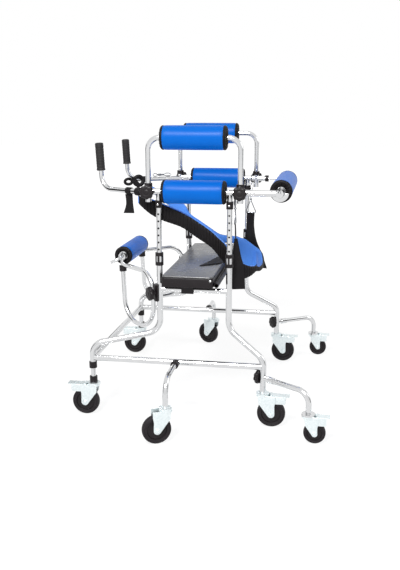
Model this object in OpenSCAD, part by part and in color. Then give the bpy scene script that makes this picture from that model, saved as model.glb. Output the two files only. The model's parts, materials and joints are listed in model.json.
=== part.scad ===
// Gait trainer on eight casters: a bent tube frame with padded arm, underarm, back and knee rollers,
// a lift-off seat and a hip sling. The user faces -X, left is -Y and the floor is Z = 0.
// The origin lies on the floor, midway between the four posts.

/* [Base frame] */
// Spacing of the front and rear posts
post_span = 250; // [240:1:290]
// Spacing of the left and right posts
frame_w = 574; // [560:1:620]
// Spacing of the left and right caster legs
base_w = 708; // [695:1:760]
// Distance from the front posts forward to the front caster legs
front_reach = 237; // [225:1:270]
// Distance from the rear posts back to the rear caster legs
rear_reach = 132; // [125:1:160]
// Height of the side rails and the front cross tube
rail_z = 218; // [214:1:224]
// Height of the corner where a front leg leaves its post
front_knee_z = 310; // [300:1:320]
// Height of the corner above a front caster
front_shoulder_z = 270; // [265:1:285]
// Height of the corner where a rear leg leaves its post
rear_knee_z = 330; // [315:1:340]
// Height of the corner above a rear caster
rear_shoulder_z = 245; // [242:1:256]
// Bend radius at the posts
knee_bend_r = 55; // [45:1:60]
// Bend radius above the casters
shoulder_bend_r = 45; // [40:1:50]
// Height of the post collars' centres
collar_z = 578; // [560:1:600]
// Height of a post collar
collar_h = 46; // [36:1:56]

/* [Tubes] */
// Outer diameter of the main tubes
tube_d = 22; // [20:0.5:24]
// Wall of the main and slim tubes
tube_wall = 1.5; // [1:0.1:2]
// Outer diameter of the outrigger and seat tubes
side_tube_d = 19; // [17:0.5:20]
// Outer diameter of the knee loops
loop_d = 17; // [15:0.5:18]
// Diameter of the roller rods
rod_d = 10; // [8:0.5:12]

/* [Casters] */
// Diameter of the main wheels
wheel_d = 100; // [96:1:102]
// Width of the main wheels
wheel_w = 26; // [22:1:28]
// Trail of the main casters
caster_trail = 31; // [27:1:34]
// Height of the main casters' top plates
plate_z = 124; // [122:1:128]
// Length of a main caster's pedal from its swivel axis
pedal_l = 95; // [85:1:100]
// Diameter of the tail wheels
tail_wheel_d = 75; // [72:1:78]
// Width of the tail wheels
tail_wheel_w = 22; // [20:1:24]
// Trail of the tail casters
tail_trail = 22; // [20:1:25]
// Height of the tail casters' top plates
tail_plate_z = 104; // [102:1:108]
// Length of a tail caster's pedal from its swivel axis
tail_pedal_l = 72; // [66:1:78]
// Angle that the side casters stand turned out
side_caster_turn = 25; // [0:1:40]
// Angle that a brake pedal travels
brake_travel = 8; // [6:1:10]

/* [Outriggers] */
// Place of the side outriggers behind the front posts
side_arm_back = 72; // [60:1:90]
// Reach of the side outriggers beyond the rails
side_arm_reach = 188; // [170:1:220]
// Bend radius of the side outriggers
side_arm_bend_r = 60; // [50:1:70]
// Height of the tail arms
tail_z = 178; // [174:1:180]
// Reach of the tail arms behind the rear caster legs
tail_reach = 163; // [150:1:185]
// Spread of the tail arms outside the rear caster legs
tail_spread = 111; // [95:1:125]
// Bend radius of the tail arms
tail_bend_r = 45; // [40:1:48]

/* [Seat] */
// Distance from the front posts back to the seat's front edge
seat_front_gap = 15; // [14:1:30]
// Distance from the rear posts forward to the seat's rear edge
seat_rear_gap = 51; // [44:1:60]
// Distance that the seat board reaches beyond the posts at each side
seat_over = 48; // [30:1:60]
// Thickness of the seat's shell
seat_shell_h = 34; // [28:1:36]
// Thickness of the seat's top
seat_top_h = 6; // [4:0.5:8]
// Height of the seat bars
seat_bar_z = 468; // [460:1:476]

/* [Upper frame] */
// Height of the arm tubes
arm_z = 816; // [800:1:860]
// Height of the underarm rollers above the arm tubes
underarm_rise = 184; // [169:1:224]
// Distance from the posts out to the hoops' legs
hoop_ahead = 36; // [34:1:44]
// Corner radius of the underarm hoops
hoop_bend_r = 42; // [36:1:46]
// Diameter of the arm rollers
arm_pad_d = 82; // [76:1:86]
// Length of the arm rollers
arm_pad_l = 224; // [210:1:226]
// Diameter of the underarm rollers
underarm_pad_d = 83; // [76:1:86]
// Length of the underarm rollers
underarm_pad_l = 229; // [215:1:234]
// Forward shift of the right underarm roller on its hoop
right_pad_shift = 30; // [0:1:34]

/* [Handles] */
// Forward reach of the handle bars from the hoop sleeves
handle_reach = 200; // [185:1:230]
// Distance that the handle bars lean inward
handle_toe = 109; // [95:1:120]
// Bend radius of the handle bars
handle_bend_r = 50; // [45:1:55]
// Height of the grips' lower ends
grip_z = 877; // [872:1:895]
// Length of the grips
grip_l = 100; // [90:1:110]
// Diameter of the grips
grip_d = 31; // [29:0.5:34]

/* [Back gate] */
// Distance from the rear hoop sleeves back to the gate
gate_back = 134; // [120:1:150]
// Diameter of the back roller
back_pad_d = 80; // [74:1:84]
// Length of the back roller
back_pad_l = 434; // [420:1:450]

/* [Knee support] */
// Forward distance from the front posts to the knee roller
knee_forward = 177; // [165:1:190]
// Height of the knee roller
knee_z = 553; // [540:1:565]
// Diameter of the knee roller
knee_pad_d = 70; // [64:1:76]
// Length of the knee roller
knee_pad_l = 268; // [255:1:275]
// Height of the knee loops' lowest point
loop_bottom_z = 312; // [305:1:325]
// Height of the knee loops' top run
loop_top_z = 522; // [515:1:528]
// Height of the knee clamps
clamp_z = 455; // [448:1:462]

/* [Sling] */
// Height from the arm tubes down to the sling's base line
sling_drop = 302; // [290:1:312]
// Thickness of the padded band
band_t = 24; // [16:1:26]
// Depth of the gathers in the band's cover
gather_depth = 1.6; // [0.5:0.1:2.5]
// Width of the straps
strap_w = 36; // [30:1:40]
// Thickness of the straps
strap_t = 2.4; // [1.6:0.1:3]

/* [Knobs] */
// Outer diameter of the star knobs
knob_d = 48; // [42:1:50]
// Height of the star knobs
knob_h = 16; // [12:1:18]
// Diameter of the knobs' studs
stud_d = 8; // [6:0.5:8.5]

/* [Hidden] */
$fn = 48;

// Clearances
slide_fit = 0.05;
run_fit = 0.05;
face_gap = 0.3;
overrun = 1;

// A bend laps over the straight runs beside it and is thicker than they are by a small step
joint_lap = 1;
joint_step = 0.12;

// Tubes that slide in the main tubes
tube_bore = tube_d - 2 * tube_wall;
slim_d = tube_bore - 2 * slide_fit;
slim_bore = slim_d - 2 * tube_wall;
side_bore = side_tube_d - 2 * tube_wall;
loop_bore = loop_d - 2 * tube_wall;

// Main places
post_x = post_span / 2;
post_y = frame_w / 2;
leg_y = base_w / 2;
front_leg_x = -post_x - front_reach;
rear_leg_x = post_x + rear_reach;
hoop_x = post_x + hoop_ahead;
underarm_z = arm_z + underarm_rise;
side_arm_x = -post_x + side_arm_back;
side_arm_y = leg_y + side_arm_reach;
tail_x = rear_leg_x + tail_reach;
tail_y = leg_y + tail_spread;
gate_x = hoop_x + gate_back;

// Posts and collars
post_top_z = collar_z + collar_h / 2 - 5 * face_gap;
inner_post_depth = 150;
hole_d = 7;
hole_pitch = 25;
hole_first_up = 12;
collar_ring_h = 12;
collar_ring_wall = 3.5;
collar_ring_d = tube_d + 2 * collar_ring_wall;
collar_rib_w = 6;
collar_ribs = 4;
cap_h = 26;
cap_wall = 2.8;
cap_d = slim_d + 2 * cap_wall;
cap_top_drop = 30;
cap_bolt_d = 11;
cap_bolt_h = 4;

// Front leg stems and their collars
leg_end_drop = 12;
leg_end_z = rail_z - tube_d / 2 - leg_end_drop;
stem_overlap = 24;
upper_ring_lap = 8;
upper_ring_top_z = leg_end_z + upper_ring_lap;
upper_ring_h = 23;
lower_ring_up = 23;
lower_ring_top_z = plate_z + lower_ring_up;
lower_ring_h = 21;
leg_ring_wall = 3;
leg_ring_d = tube_d + 2 * leg_ring_wall;

// Part of a leg's diameter by which a rail's end stands off the leg's axis
rail_root_share = 0.25;

// Caster parts, measured down from the top plate
head_d = 46;
head_t = 6;
stem_d = 14;
stem_up = 24;
kingpin_d = 10;
rivet_d = 16;
rivet_t = 2.5;
crown_t = 5.5;
crown_d = 44;
fork_side_gap = 3;
fork_leg_t = 3;
fork_top_half = 20;
fork_toe_r = 10;
axle_d = 8;
axle_head_d = 14;
axle_head_t = 4;
tyre_round = 6;
dish_t = 3;
dish_outer_share = 0.66;
hub_d = 24;
pedal_t = 2.5;
pedal_pivot_x = 31;
pedal_pin_d = 5;
pedal_eye_d = 9;
pedal_start = 4;
pedal_clear = 1;
pedal_ribs = 5;
pedal_rib_h = 1.2;
pedal_rib_w = 3;
shoe_ahead = 21;
shoe_w = 16;
shoe_t = 4;
ear_r = 7;

// Outrigger saddles and tail bosses
saddle_l = 26;
saddle_wall = 4.5;
saddle_d = side_tube_d + 2 * saddle_wall;
boss_d = 18;
tail_boss_l = 24;
tail_plug_l = 24;
tail_pad_d = 23;

// Seat
seat_rear_x = post_x - seat_rear_gap;
seat_front_x = -post_x + seat_front_gap;
seat_depth = seat_rear_x - seat_front_x;
seat_near_y = -post_y - seat_over;
seat_far_y = -seat_near_y;
seat_rise = 19;
seat_under_z = seat_bar_z + seat_rise;
seat_corner_r = 12;
seat_top_inset = 3;
clip_l = 44;
clip_w = 31;
clip_drop = 11;
clip_place_share = 0.478;
seat_tube_d = 16;
seat_tube_inset = 14;
seat_tube_bracket_t = 3;
seat_tube_bracket_w = 22;

// Hoop sleeves, arm tubes and sockets
sleeve_low = 36;
sleeve_high = 24;
sleeve_ring_h = 15;
sleeve_ring_wall = 3;
sleeve_ring_d = tube_d + 2 * sleeve_ring_wall;
sleeve_ring_over = 10;
knob_boss_d = 16;
knob_boss_l = 8;
socket_l = 62;
bar_start = 15;
handle_drop = 4;
handle_lean = 8;
rear_socket_l = 45;
bush_l = 14;
bush_wall = 2;
bush_d = tube_d + 2 * bush_wall;
gate_rod_start = 22;
gate_bend_r = 25;
hook_d = 27;
hook_w = 22;
rod_over = 12;

// Rollers
pad_round = 9;
pad_dish = 7;
disc_d = 32;
disc_t = 4;

// Knee support
knee_half = knee_pad_l / 2;
knee_hook_w = 12;
knee_hook_gap = 5;
knee_hook_y = knee_half + knee_hook_gap + knee_hook_w / 2;
knee_hook_d = 27;
loop_root_forward = 26;
loop_root_in = 6;
loop_top_bend_r = 75;
loop_low_bend_r = 84;
loop_lean = 16;
loop_ring_h = 22;
loop_ring_d = 27;
loop_ring_drop = 45;
loop_ring_z = knee_z - loop_ring_drop;
clamp_h = 60;
clamp_r = 21;
clamp_boss_l = 32;
clamp_open = 2;
clamp_turn = 50;

// Knobs
knob_lobe_rise = 4;
knob_core_d = knob_d - 2 * knob_lobe_rise;
knob_lobes = 8;
knob_lobe_d = 13;
knob_rim_drop = 3;
knob_gap = 0.5;

// Finishes
chrome = [0.82, 0.83, 0.85];
zinc = [0.78, 0.82, 0.84];
black = [0.07, 0.07, 0.08];
blue = [0.04, 0.40, 0.86];
grey = [0.5, 0.5, 0.52];

// Caster table: name, x, y for the left side, plate height, wheel size, trail, turn, pedal length
NAME = 0;
PLACE = 1;
WHEEL = 2;
TRAIL = 3;
TURN = 4;
PEDAL = 5;
half_turn = 180;
main_wheel = [wheel_d, wheel_w];
tail_wheel = [tail_wheel_d, tail_wheel_w];
function caster_row(name, x, y, z, wheel, trail, turn, pedal) = [
    [str("left_", name), [x, -y, z], wheel, trail, turn, pedal],
    [str("right_", name), [x, y, z], wheel, trail, -turn, pedal],
];
CASTERS = concat(
    caster_row("front", front_leg_x, leg_y, plate_z, main_wheel, caster_trail, half_turn, pedal_l),
    caster_row("side", side_arm_x, side_arm_y, plate_z, main_wheel, caster_trail,
               half_turn + side_caster_turn, 0),
    caster_row("rear", rear_leg_x, leg_y, plate_z, main_wheel, caster_trail, 0, pedal_l),
    caster_row("tail", tail_x, tail_y, tail_plate_z, tail_wheel, tail_trail, 0, tail_pedal_l)
);
BRAKED = [for (c = CASTERS) if (c[PEDAL] > 0) c];

// Knob table: name, stud tip, outward direction, stud length
arm_stud_l = tube_wall + knob_boss_l + knob_gap;
knee_stud_l = clamp_boss_l - tube_d / 2 - face_gap + knob_gap;
tail_dir = [tail_reach, -tail_spread, 0] / norm([tail_reach, tail_spread]);
tail_stud_l = tube_d / 2 + knob_gap + tail_boss_l + tail_plug_l;
clamp_dir = [-sin(clamp_turn), -cos(clamp_turn), 0];
function mirrored(v) = [v[0], -v[1], v[2]];
function knob_pair(name, tip, dir, stud) = [
    [str("left_", name), tip, dir, stud],
    [str("right_", name), mirrored(tip), mirrored(dir), stud],
];
KNOBS = concat(
    knob_pair("front_knob", [-hoop_x, -post_y - slim_d / 2 - face_gap, arm_z], [0, -1, 0], arm_stud_l),
    knob_pair("rear_knob", [hoop_x, -post_y - slim_d / 2 - face_gap, arm_z], [0, -1, 0], arm_stud_l),
    knob_pair("knee_knob", [-post_x, -post_y, clamp_z] + clamp_dir * (tube_d / 2 + face_gap), clamp_dir,
              knee_stud_l),
    knob_pair("tail_knob", [rear_leg_x, -leg_y, tail_z] + tail_dir * (tail_boss_l + tail_plug_l), -tail_dir,
              tail_stud_l)
);

// Shared shapes

function unit(v) = v / norm(v);
function run_dir(p, i) = unit(p[i + 1] - p[i]);
function turn_at(p, i) = acos(max(-1, min(1, run_dir(p, i - 1) * run_dir(p, i))));
function bend_cut(p, r, i) = i <= 0 || i >= len(p) - 1 ? 0 : r[i - 1] * tan(turn_at(p, i) / 2);
function bend_axis(p, i) = cross(run_dir(p, i - 1), run_dir(p, i));
function turns_back(p, i) = i + 3 < len(p) ? bend_axis(p, i + 1) * bend_axis(p, i + 2) < 0 : false;

// Draws its children on the left side and mirrored on the right
module both_sides() {
    children();
    mirror([0, 1, 0]) children();
}

// Draws its children on the left side, or mirrored for the right side
module on_side(side) {
    mirror([0, side > 0 ? 1 : 0, 0]) children();
}

// Turns its children's +Z along dir and moves them to a place
module along(place, dir) {
    translate(place)
        rotate([0, acos(unit(dir)[2]), atan2(dir[1], dir[0])])
            children();
}

module ring(d, bore) {
    difference() {
        circle(d = d);
        if (bore > 0)
            circle(d = bore);
    }
}

// Tube along +Z from the origin, through the points p from the one at i, bending towards +X
module bent_run(p, r, d, bore, i) {
    length = norm(p[i + 1] - p[i]) - bend_cut(p, r, i) - bend_cut(p, r, i + 1);
    linear_extrude(length)
        ring(d, bore);
    if (i + 2 < len(p)) {
        lap = asin(joint_lap / r[i]);
        translate([r[i], 0, length]) {
            rotate([90, 0, 180])
                rotate(-lap)
                    rotate_extrude(angle = turn_at(p, i + 1) + 2 * lap)
                        translate([r[i], 0])
                            ring(d + 2 * joint_step, bore > 0 ? bore - 2 * joint_step : 0);
            rotate([0, turn_at(p, i + 1), 0])
                translate([-r[i], 0, 0])
                    rotate(turns_back(p, i) ? 180 : 0)
                        bent_run(p, r, d, bore, i + 1);
        }
    }
}

// Tube through the points p of one plane, with a bend of radius r[i] at each inner point
module bent_tube(p, r, d, bore) {
    u = run_dir(p, 0);
    v = run_dir(p, 1);
    n = unit(v - u * (u * v));
    w = cross(u, n);
    multmatrix([[n[0], w[0], u[0], p[0][0]], [n[1], w[1], u[1], p[0][1]], [n[2], w[2], u[2], p[0][2]]])
        bent_run(p, r, d, bore, 0);
}

// Straight round bar from p to q
module bar(p, q, d) {
    along(p, q - p)
        cylinder(d = d, h = norm(q - p));
}

// Straight tube from p to q
module tube(p, q, d, bore) {
    along(p, q - p)
        linear_extrude(norm(q - p))
            ring(d, bore);
}

// Padded sleeve along +Z, centred, with rounded rims and drawn-in ends
module roller_pad(d, l, bore) {
    half = l / 2;
    rotate_extrude()
        difference() {
            union() {
                translate([0, -half + pad_round])
                    square([d / 2, l - 2 * pad_round]);
                translate([0, -half])
                    square([d / 2 - pad_round, l]);
                for (s = [-1, 1])
                    translate([d / 2 - pad_round, s * (half - pad_round)])
                        intersection() {
                            circle(r = pad_round);
                            translate([-d / 2 + pad_round, -pad_round])
                                square([d / 2, 2 * pad_round]);
                        }
            }
            if (bore > 0)
                translate([0, -half - overrun])
                    square([bore / 2, l + 2 * overrun]);
            for (s = [-1, 1])
                polygon([[0, s * (half + overrun)], [d / 2 - pad_round, s * (half + overrun)],
                         [d / 2 - pad_round, s * half], [disc_d / 2, s * (half - pad_dish)],
                         [0, s * (half - pad_dish)]]);
        }
}

module rounded_plate(x, y, h, r) {
    linear_extrude(h) {
        translate([r, 0])
            square([x - 2 * r, y]);
        translate([0, r])
            square([x, y - 2 * r]);
        for (i = [r, x - r], j = [r, y - r])
            translate([i, j])
                circle(r = r);
    }
}

// Closed skin over rings of points, each ring with the same count
module skin(rings) {
    m = len(rings[0]);
    n = len(rings);
    points = [for (one = rings) for (p = one) p];
    sides = [for (i = [0 : n - 2], j = [0 : m - 1]) let (k = (j + 1) % m)
        for (t = [[i * m + j, i * m + k, (i + 1) * m + k],
                  [i * m + j, (i + 1) * m + k, (i + 1) * m + j]]) t];
    first = [for (j = [1 : m - 2]) [0, j + 1, j]];
    last = [for (j = [1 : m - 2]) [(n - 1) * m, (n - 1) * m + j, (n - 1) * m + j + 1]];
    polyhedron(points = points, faces = concat(sides, first, last));
}

// Flat strap through the points p, with its width along side
module strap(p, side, w, t) {
    last = len(p) - 1;
    dir = [for (i = [0 : last]) unit(p[min(i + 1, last)] - p[max(i - 1, 0)])];
    skin([for (i = [0 : last])
        let (flat = unit(cross(dir[i], side)))
        [for (c = [[-1, -1], [-1, 1], [1, 1], [1, -1]])
            p[i] + side * (c[0] * w[i] / 2) + flat * (c[1] * t / 2)]]);
}

// Base frame

function front_leg_path() = [
    [-post_x, -post_y, post_top_z],
    [-post_x, -post_y, front_knee_z],
    [front_leg_x, -leg_y, front_shoulder_z],
    [front_leg_x, -leg_y, leg_end_z],
];
function rear_leg_path() = [
    [post_x, -post_y, post_top_z],
    [post_x, -post_y, rear_knee_z],
    [rear_leg_x, -leg_y, rear_shoulder_z],
    [rear_leg_x, -leg_y, plate_z],
];
leg_bends = [knee_bend_r, shoulder_bend_r];

module front_legs() {
    color(chrome)
        both_sides() {
            bent_tube(front_leg_path(), leg_bends, tube_d, tube_bore);
            tube([front_leg_x, -leg_y, plate_z], [front_leg_x, -leg_y, leg_end_z + stem_overlap], slim_d,
                 slim_bore);
        }
}

module rear_legs() {
    color(chrome)
        both_sides()
            difference() {
                union() {
                    bent_tube(rear_leg_path(), leg_bends, tube_d, tube_bore);
                    difference() {
                        bar([rear_leg_x, -leg_y, tail_z],
                            [rear_leg_x, -leg_y, tail_z] + tail_dir * tail_boss_l, boss_d);
                        translate([rear_leg_x, -leg_y, plate_z])
                            cylinder(d = tube_bore, h = rear_shoulder_z - plate_z);
                    }
                }
                bar([rear_leg_x, -leg_y, tail_z] - tail_dir * tube_d,
                    [rear_leg_x, -leg_y, tail_z] + tail_dir * (tail_boss_l + overrun),
                    stud_d + 2 * run_fit);
            }
}

module base_rails() {
    root_in = tube_d * rail_root_share;
    color(chrome)
        difference() {
            union() {
                both_sides() {
                    tube([front_leg_x + root_in, -leg_y, rail_z], [rear_leg_x - root_in, -leg_y, rail_z],
                         tube_d, tube_bore);
                    tube([-post_x, -post_y, seat_bar_z], [post_x, -post_y, seat_bar_z], side_tube_d,
                         side_bore);
                }
                tube([front_leg_x, -leg_y + root_in, rail_z], [front_leg_x, leg_y - root_in, rail_z],
                     tube_d, tube_bore);
            }
            both_sides() {
                bent_tube(front_leg_path(), leg_bends, tube_d, 0);
                bent_tube(rear_leg_path(), leg_bends, tube_d, 0);
            }
        }
}

module side_outriggers() {
    color(chrome)
        both_sides()
            difference() {
                bent_tube([[side_arm_x, -leg_y, rail_z], [side_arm_x, -side_arm_y, rail_z],
                           [side_arm_x, -side_arm_y, plate_z]], [side_arm_bend_r], side_tube_d, side_bore);
                bar([front_leg_x, -leg_y, rail_z], [rear_leg_x, -leg_y, rail_z], tube_d);
            }
}

module post_collar() {
    difference() {
        union() {
            for (z = [-collar_h / 2, collar_h / 2 - collar_ring_h])
                translate([0, 0, z])
                    cylinder(d = collar_ring_d, h = collar_ring_h);
            for (i = [0 : collar_ribs - 1])
                rotate(i * 360 / collar_ribs)
                    translate([0, -collar_rib_w / 2, -collar_h / 2])
                        cube([collar_ring_d / 2 - face_gap, collar_rib_w, collar_h]);
        }
        translate([0, 0, -collar_h / 2 - overrun])
            cylinder(d = tube_d, h = post_top_z - collar_z + collar_h / 2 + overrun);
        cylinder(d = slim_d + 2 * face_gap, h = collar_h);
    }
}

module leg_ring(top_z, h, bore) {
    translate([front_leg_x, -leg_y, top_z - h])
        linear_extrude(h)
            ring(leg_ring_d, bore);
}

// Saddle that backs the root of a side outrigger
module outrigger_saddle() {
    difference() {
        bar([side_arm_x, -leg_y - tube_d / 2, rail_z],
            [side_arm_x, -leg_y - tube_d / 2 - saddle_l, rail_z], saddle_d);
        bar([side_arm_x, -leg_y, rail_z], [side_arm_x, -side_arm_y, rail_z], side_tube_d);
        bar([front_leg_x, -leg_y, rail_z], [rear_leg_x, -leg_y, rail_z], tube_d);
    }
}

module frame_collars() {
    color(black)
        both_sides() {
            for (x = [-post_x, post_x])
                translate([x, -post_y, collar_z])
                    post_collar();
            difference() {
                leg_ring(upper_ring_top_z, upper_ring_h, slim_d);
                translate([front_leg_x, -leg_y, leg_end_z])
                    cylinder(d = tube_d, h = upper_ring_top_z - leg_end_z + overrun);
            }
            leg_ring(lower_ring_top_z, lower_ring_h, slim_d);
            outrigger_saddle();
        }
}

// Casters, drawn with the swivel axis on Z, the top plate at Z = 0 and the trail along +X

function axle_z(c) = c[WHEEL][0] / 2 - c[PLACE][2];
function fork_half(c) = c[WHEEL][1] / 2 + fork_side_gap;
crown_top = -head_t - face_gap;
crown_bottom = crown_top - crown_t;
pedal_z = crown_bottom + 3 * pedal_t / 2;

module at_caster(c) {
    translate(c[PLACE])
        rotate(c[TURN])
            children();
}

module caster_head() {
    translate([0, 0, -head_t])
        cylinder(d = head_d, h = head_t);
    cylinder(d = stem_d, h = stem_up);
    translate([0, 0, crown_bottom - face_gap])
        cylinder(d = kingpin_d, h = -crown_bottom);
    translate([0, 0, crown_bottom - face_gap - rivet_t])
        cylinder(d = rivet_d, h = rivet_t);
}

module caster_heads() {
    color(zinc)
        for (c = CASTERS)
            if (c[PLACE][2] == plate_z)
                at_caster(c)
                    caster_head();
}

module fork_cheek(c) {
    polygon([[-fork_top_half, crown_top], [fork_top_half, crown_top],
             [c[TRAIL] + fork_toe_r, axle_z(c)], [c[TRAIL] - fork_toe_r, axle_z(c)]]);
    translate([c[TRAIL], axle_z(c)])
        circle(r = fork_toe_r);
    if (c[PEDAL] > 0) {
        translate([pedal_pivot_x, pedal_z])
            circle(r = ear_r);
        translate([0, pedal_z - ear_r])
            square([pedal_pivot_x, 2 * ear_r]);
    }
}

module caster_fork(c) {
    half = fork_half(c);
    color(zinc)
        at_caster(c)
            difference() {
                union() {
                    for (y = [-half, half + fork_leg_t])
                        translate([0, y, 0])
                            rotate([90, 0, 0])
                                linear_extrude(fork_leg_t)
                                    intersection() {
                                        fork_cheek(c);
                                        translate([-crown_d, axle_z(c) - fork_toe_r])
                                            square([2 * crown_d + c[TRAIL],
                                                    crown_top - axle_z(c) + fork_toe_r]);
                                    }
                    translate([-fork_top_half, -half, crown_bottom])
                        cube([2 * fork_top_half, 2 * half, crown_t]);
                    translate([0, 0, crown_bottom])
                        cylinder(d = crown_d, h = crown_t);
                    bar([c[TRAIL], -half - fork_leg_t - axle_head_t, axle_z(c)],
                        [c[TRAIL], half + fork_leg_t + axle_head_t, axle_z(c)], axle_d);
                    for (s = [-1, 1])
                        bar([c[TRAIL], s * (half + fork_leg_t), axle_z(c)],
                            [c[TRAIL], s * (half + fork_leg_t + axle_head_t), axle_z(c)], axle_head_d);
                }
                translate([0, 0, crown_bottom - overrun])
                    cylinder(d = kingpin_d + 2 * run_fit, h = crown_t + 2 * overrun);
                if (c[PEDAL] > 0)
                    bar([pedal_pivot_x, -half - fork_leg_t - overrun, pedal_z],
                        [pedal_pivot_x, half + fork_leg_t + overrun, pedal_z], pedal_pin_d + 2 * run_fit);
            }
}

module caster_wheel(c) {
    r = c[WHEEL][0] / 2;
    half_w = c[WHEEL][1] / 2;
    hub_half = fork_half(c) - face_gap;
    color(black)
        at_caster(c)
            translate([c[TRAIL], 0, axle_z(c)])
                rotate([90, 0, 0])
                    rotate_extrude()
                        difference() {
                            union() {
                                translate([0, -half_w])
                                    square([r - tyre_round, 2 * half_w]);
                                translate([0, -half_w + tyre_round])
                                    square([r, 2 * (half_w - tyre_round)]);
                                for (s = [-1, 1])
                                    translate([r - tyre_round, s * (half_w - tyre_round)])
                                        circle(r = tyre_round);
                                translate([0, -hub_half])
                                    square([hub_d / 2, 2 * hub_half]);
                            }
                            translate([0, -hub_half - overrun])
                                square([axle_d / 2 + run_fit, 2 * (hub_half + overrun)]);
                            for (y = [-half_w - overrun, half_w - dish_t])
                                translate([hub_d / 2, y])
                                    square([r * dish_outer_share - hub_d / 2, dish_t + overrun]);
                        }
}

module caster_pedal(c) {
    half = fork_half(c) - pedal_clear;
    shoe_x = c[TRAIL] + shoe_ahead;
    tyre_z = axle_z(c) + sqrt(pow(c[WHEEL][0] / 2, 2) - pow(shoe_ahead, 2));
    tyre_slope = shoe_ahead / (tyre_z - axle_z(c));
    shoe_drop = shoe_x + shoe_t - pedal_pivot_x + (pedal_z - tyre_z) * tyre_slope;
    shoe_gap = shoe_drop * sin(brake_travel) + 2 * face_gap;
    plate_low = pedal_z - pedal_t / 2;
    pad_start = pedal_pivot_x + ear_r;
    pitch = (c[PEDAL] - pad_start) / pedal_ribs;
    color(zinc)
        at_caster(c)
            difference() {
                union() {
                    translate([pedal_pivot_x - pedal_start, -half, plate_low])
                        cube([c[PEDAL] - pedal_pivot_x + pedal_start, 2 * half, pedal_t]);
                    bar([pedal_pivot_x, -half, pedal_z], [pedal_pivot_x, half, pedal_z], pedal_eye_d);
                    bar([pedal_pivot_x, -fork_half(c) - fork_leg_t, pedal_z],
                        [pedal_pivot_x, fork_half(c) + fork_leg_t, pedal_z], pedal_pin_d);
                    for (i = [0 : pedal_ribs - 1])
                        translate([pad_start + (i + 1) * pitch - pedal_rib_w, -half, plate_low])
                            cube([pedal_rib_w, 2 * half, pedal_t + pedal_rib_h]);
                    translate([shoe_x, -shoe_w / 2, tyre_z + shoe_gap])
                        cube([shoe_t, shoe_w, plate_low - tyre_z - shoe_gap + pedal_t / 2]);
                }
                cylinder(d = head_d + 2 * pedal_clear, h = 2 * head_t, center = true);
            }
}

// Upper frame

module inner_posts() {
    low_z = post_top_z - inner_post_depth;
    first_hole_z = collar_z + collar_h / 2 + hole_first_up;
    last_hole_z = arm_z - cap_top_drop - cap_h - hole_d;
    color(chrome)
        difference() {
            both_sides()
                for (x = [-post_x, post_x])
                    difference() {
                        tube([x, -post_y, low_z], [x, -post_y, arm_z], slim_d, slim_bore);
                        for (z = [first_hole_z : hole_pitch : last_hole_z])
                            bar([x, -post_y - slim_d, z], [x, -post_y, z], hole_d);
                    }
            both_sides()
                bar([-hoop_x, -post_y, arm_z], [hoop_x, -post_y, arm_z], tube_d);
        }
}

handle_dir = unit([-handle_reach, handle_toe, 0]);
handle_root = [-hoop_x, -post_y, arm_z - handle_drop];

// Outer or inner surface of one arm's tubes; the rear run differs between the sides
module arm_outline(d, rear_end) {
    bar([-hoop_x, -post_y, arm_z], [rear_end, -post_y, arm_z], d);
    for (x = [-hoop_x, hoop_x])
        translate([x, -post_y, arm_z - sleeve_low])
            cylinder(d = d, h = sleeve_low + sleeve_high);
    bar(handle_root, handle_root + handle_dir * socket_l, d);
}

// Clears the bores of one arm: hoop sleeves, socket and the rear run behind its sleeve
module arm_bores(rear_end) {
    for (x = [-hoop_x, hoop_x])
        translate([x, -post_y, arm_z - sleeve_low - overrun])
            cylinder(d = tube_bore, h = sleeve_low + sleeve_high + 2 * overrun);
    bar(handle_root + handle_dir * (bar_start - overrun), handle_root + handle_dir * (socket_l + overrun),
        tube_bore);
    bar([-hoop_x + tube_d / 2, -post_y, arm_z], [hoop_x - tube_d / 2, -post_y, arm_z], tube_bore);
    bar([hoop_x + tube_d / 2, -post_y, arm_z], [rear_end, -post_y, arm_z], tube_bore);
    for (x = [-hoop_x, hoop_x])
        bar([x, -post_y, arm_z], [x, -post_y - tube_d - knob_boss_l, arm_z], stud_d + 2 * run_fit);
}

module knob_bosses() {
    for (x = [-hoop_x, hoop_x])
        bar([x, -post_y, arm_z], [x, -post_y - tube_d / 2 - knob_boss_l, arm_z], knob_boss_d);
}

gate_hook_end = gate_x - hook_d / 2;
far_socket_end = hoop_x + rear_socket_l;

module arm_tubes() {
    color(chrome) {
        difference() {
            union() {
                arm_outline(tube_d, gate_hook_end + tube_wall);
                knob_bosses();
                bar([gate_x, -post_y - hook_w / 2, arm_z], [gate_x, -post_y + hook_w / 2, arm_z], hook_d);
            }
            arm_bores(gate_hook_end);
            bar([gate_x, -post_y - hook_w, arm_z], [gate_x, -post_y + hook_w, arm_z], rod_d + 2 * face_gap);
            translate([gate_x - rod_d / 2 - face_gap, -post_y - hook_w, arm_z])
                cube([rod_d + 2 * face_gap, 2 * hook_w, hook_d]);
        }
        mirror([0, 1, 0])
            difference() {
                union() {
                    arm_outline(tube_d, far_socket_end);
                    knob_bosses();
                }
                arm_bores(far_socket_end + overrun);
            }
    }
}

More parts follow.
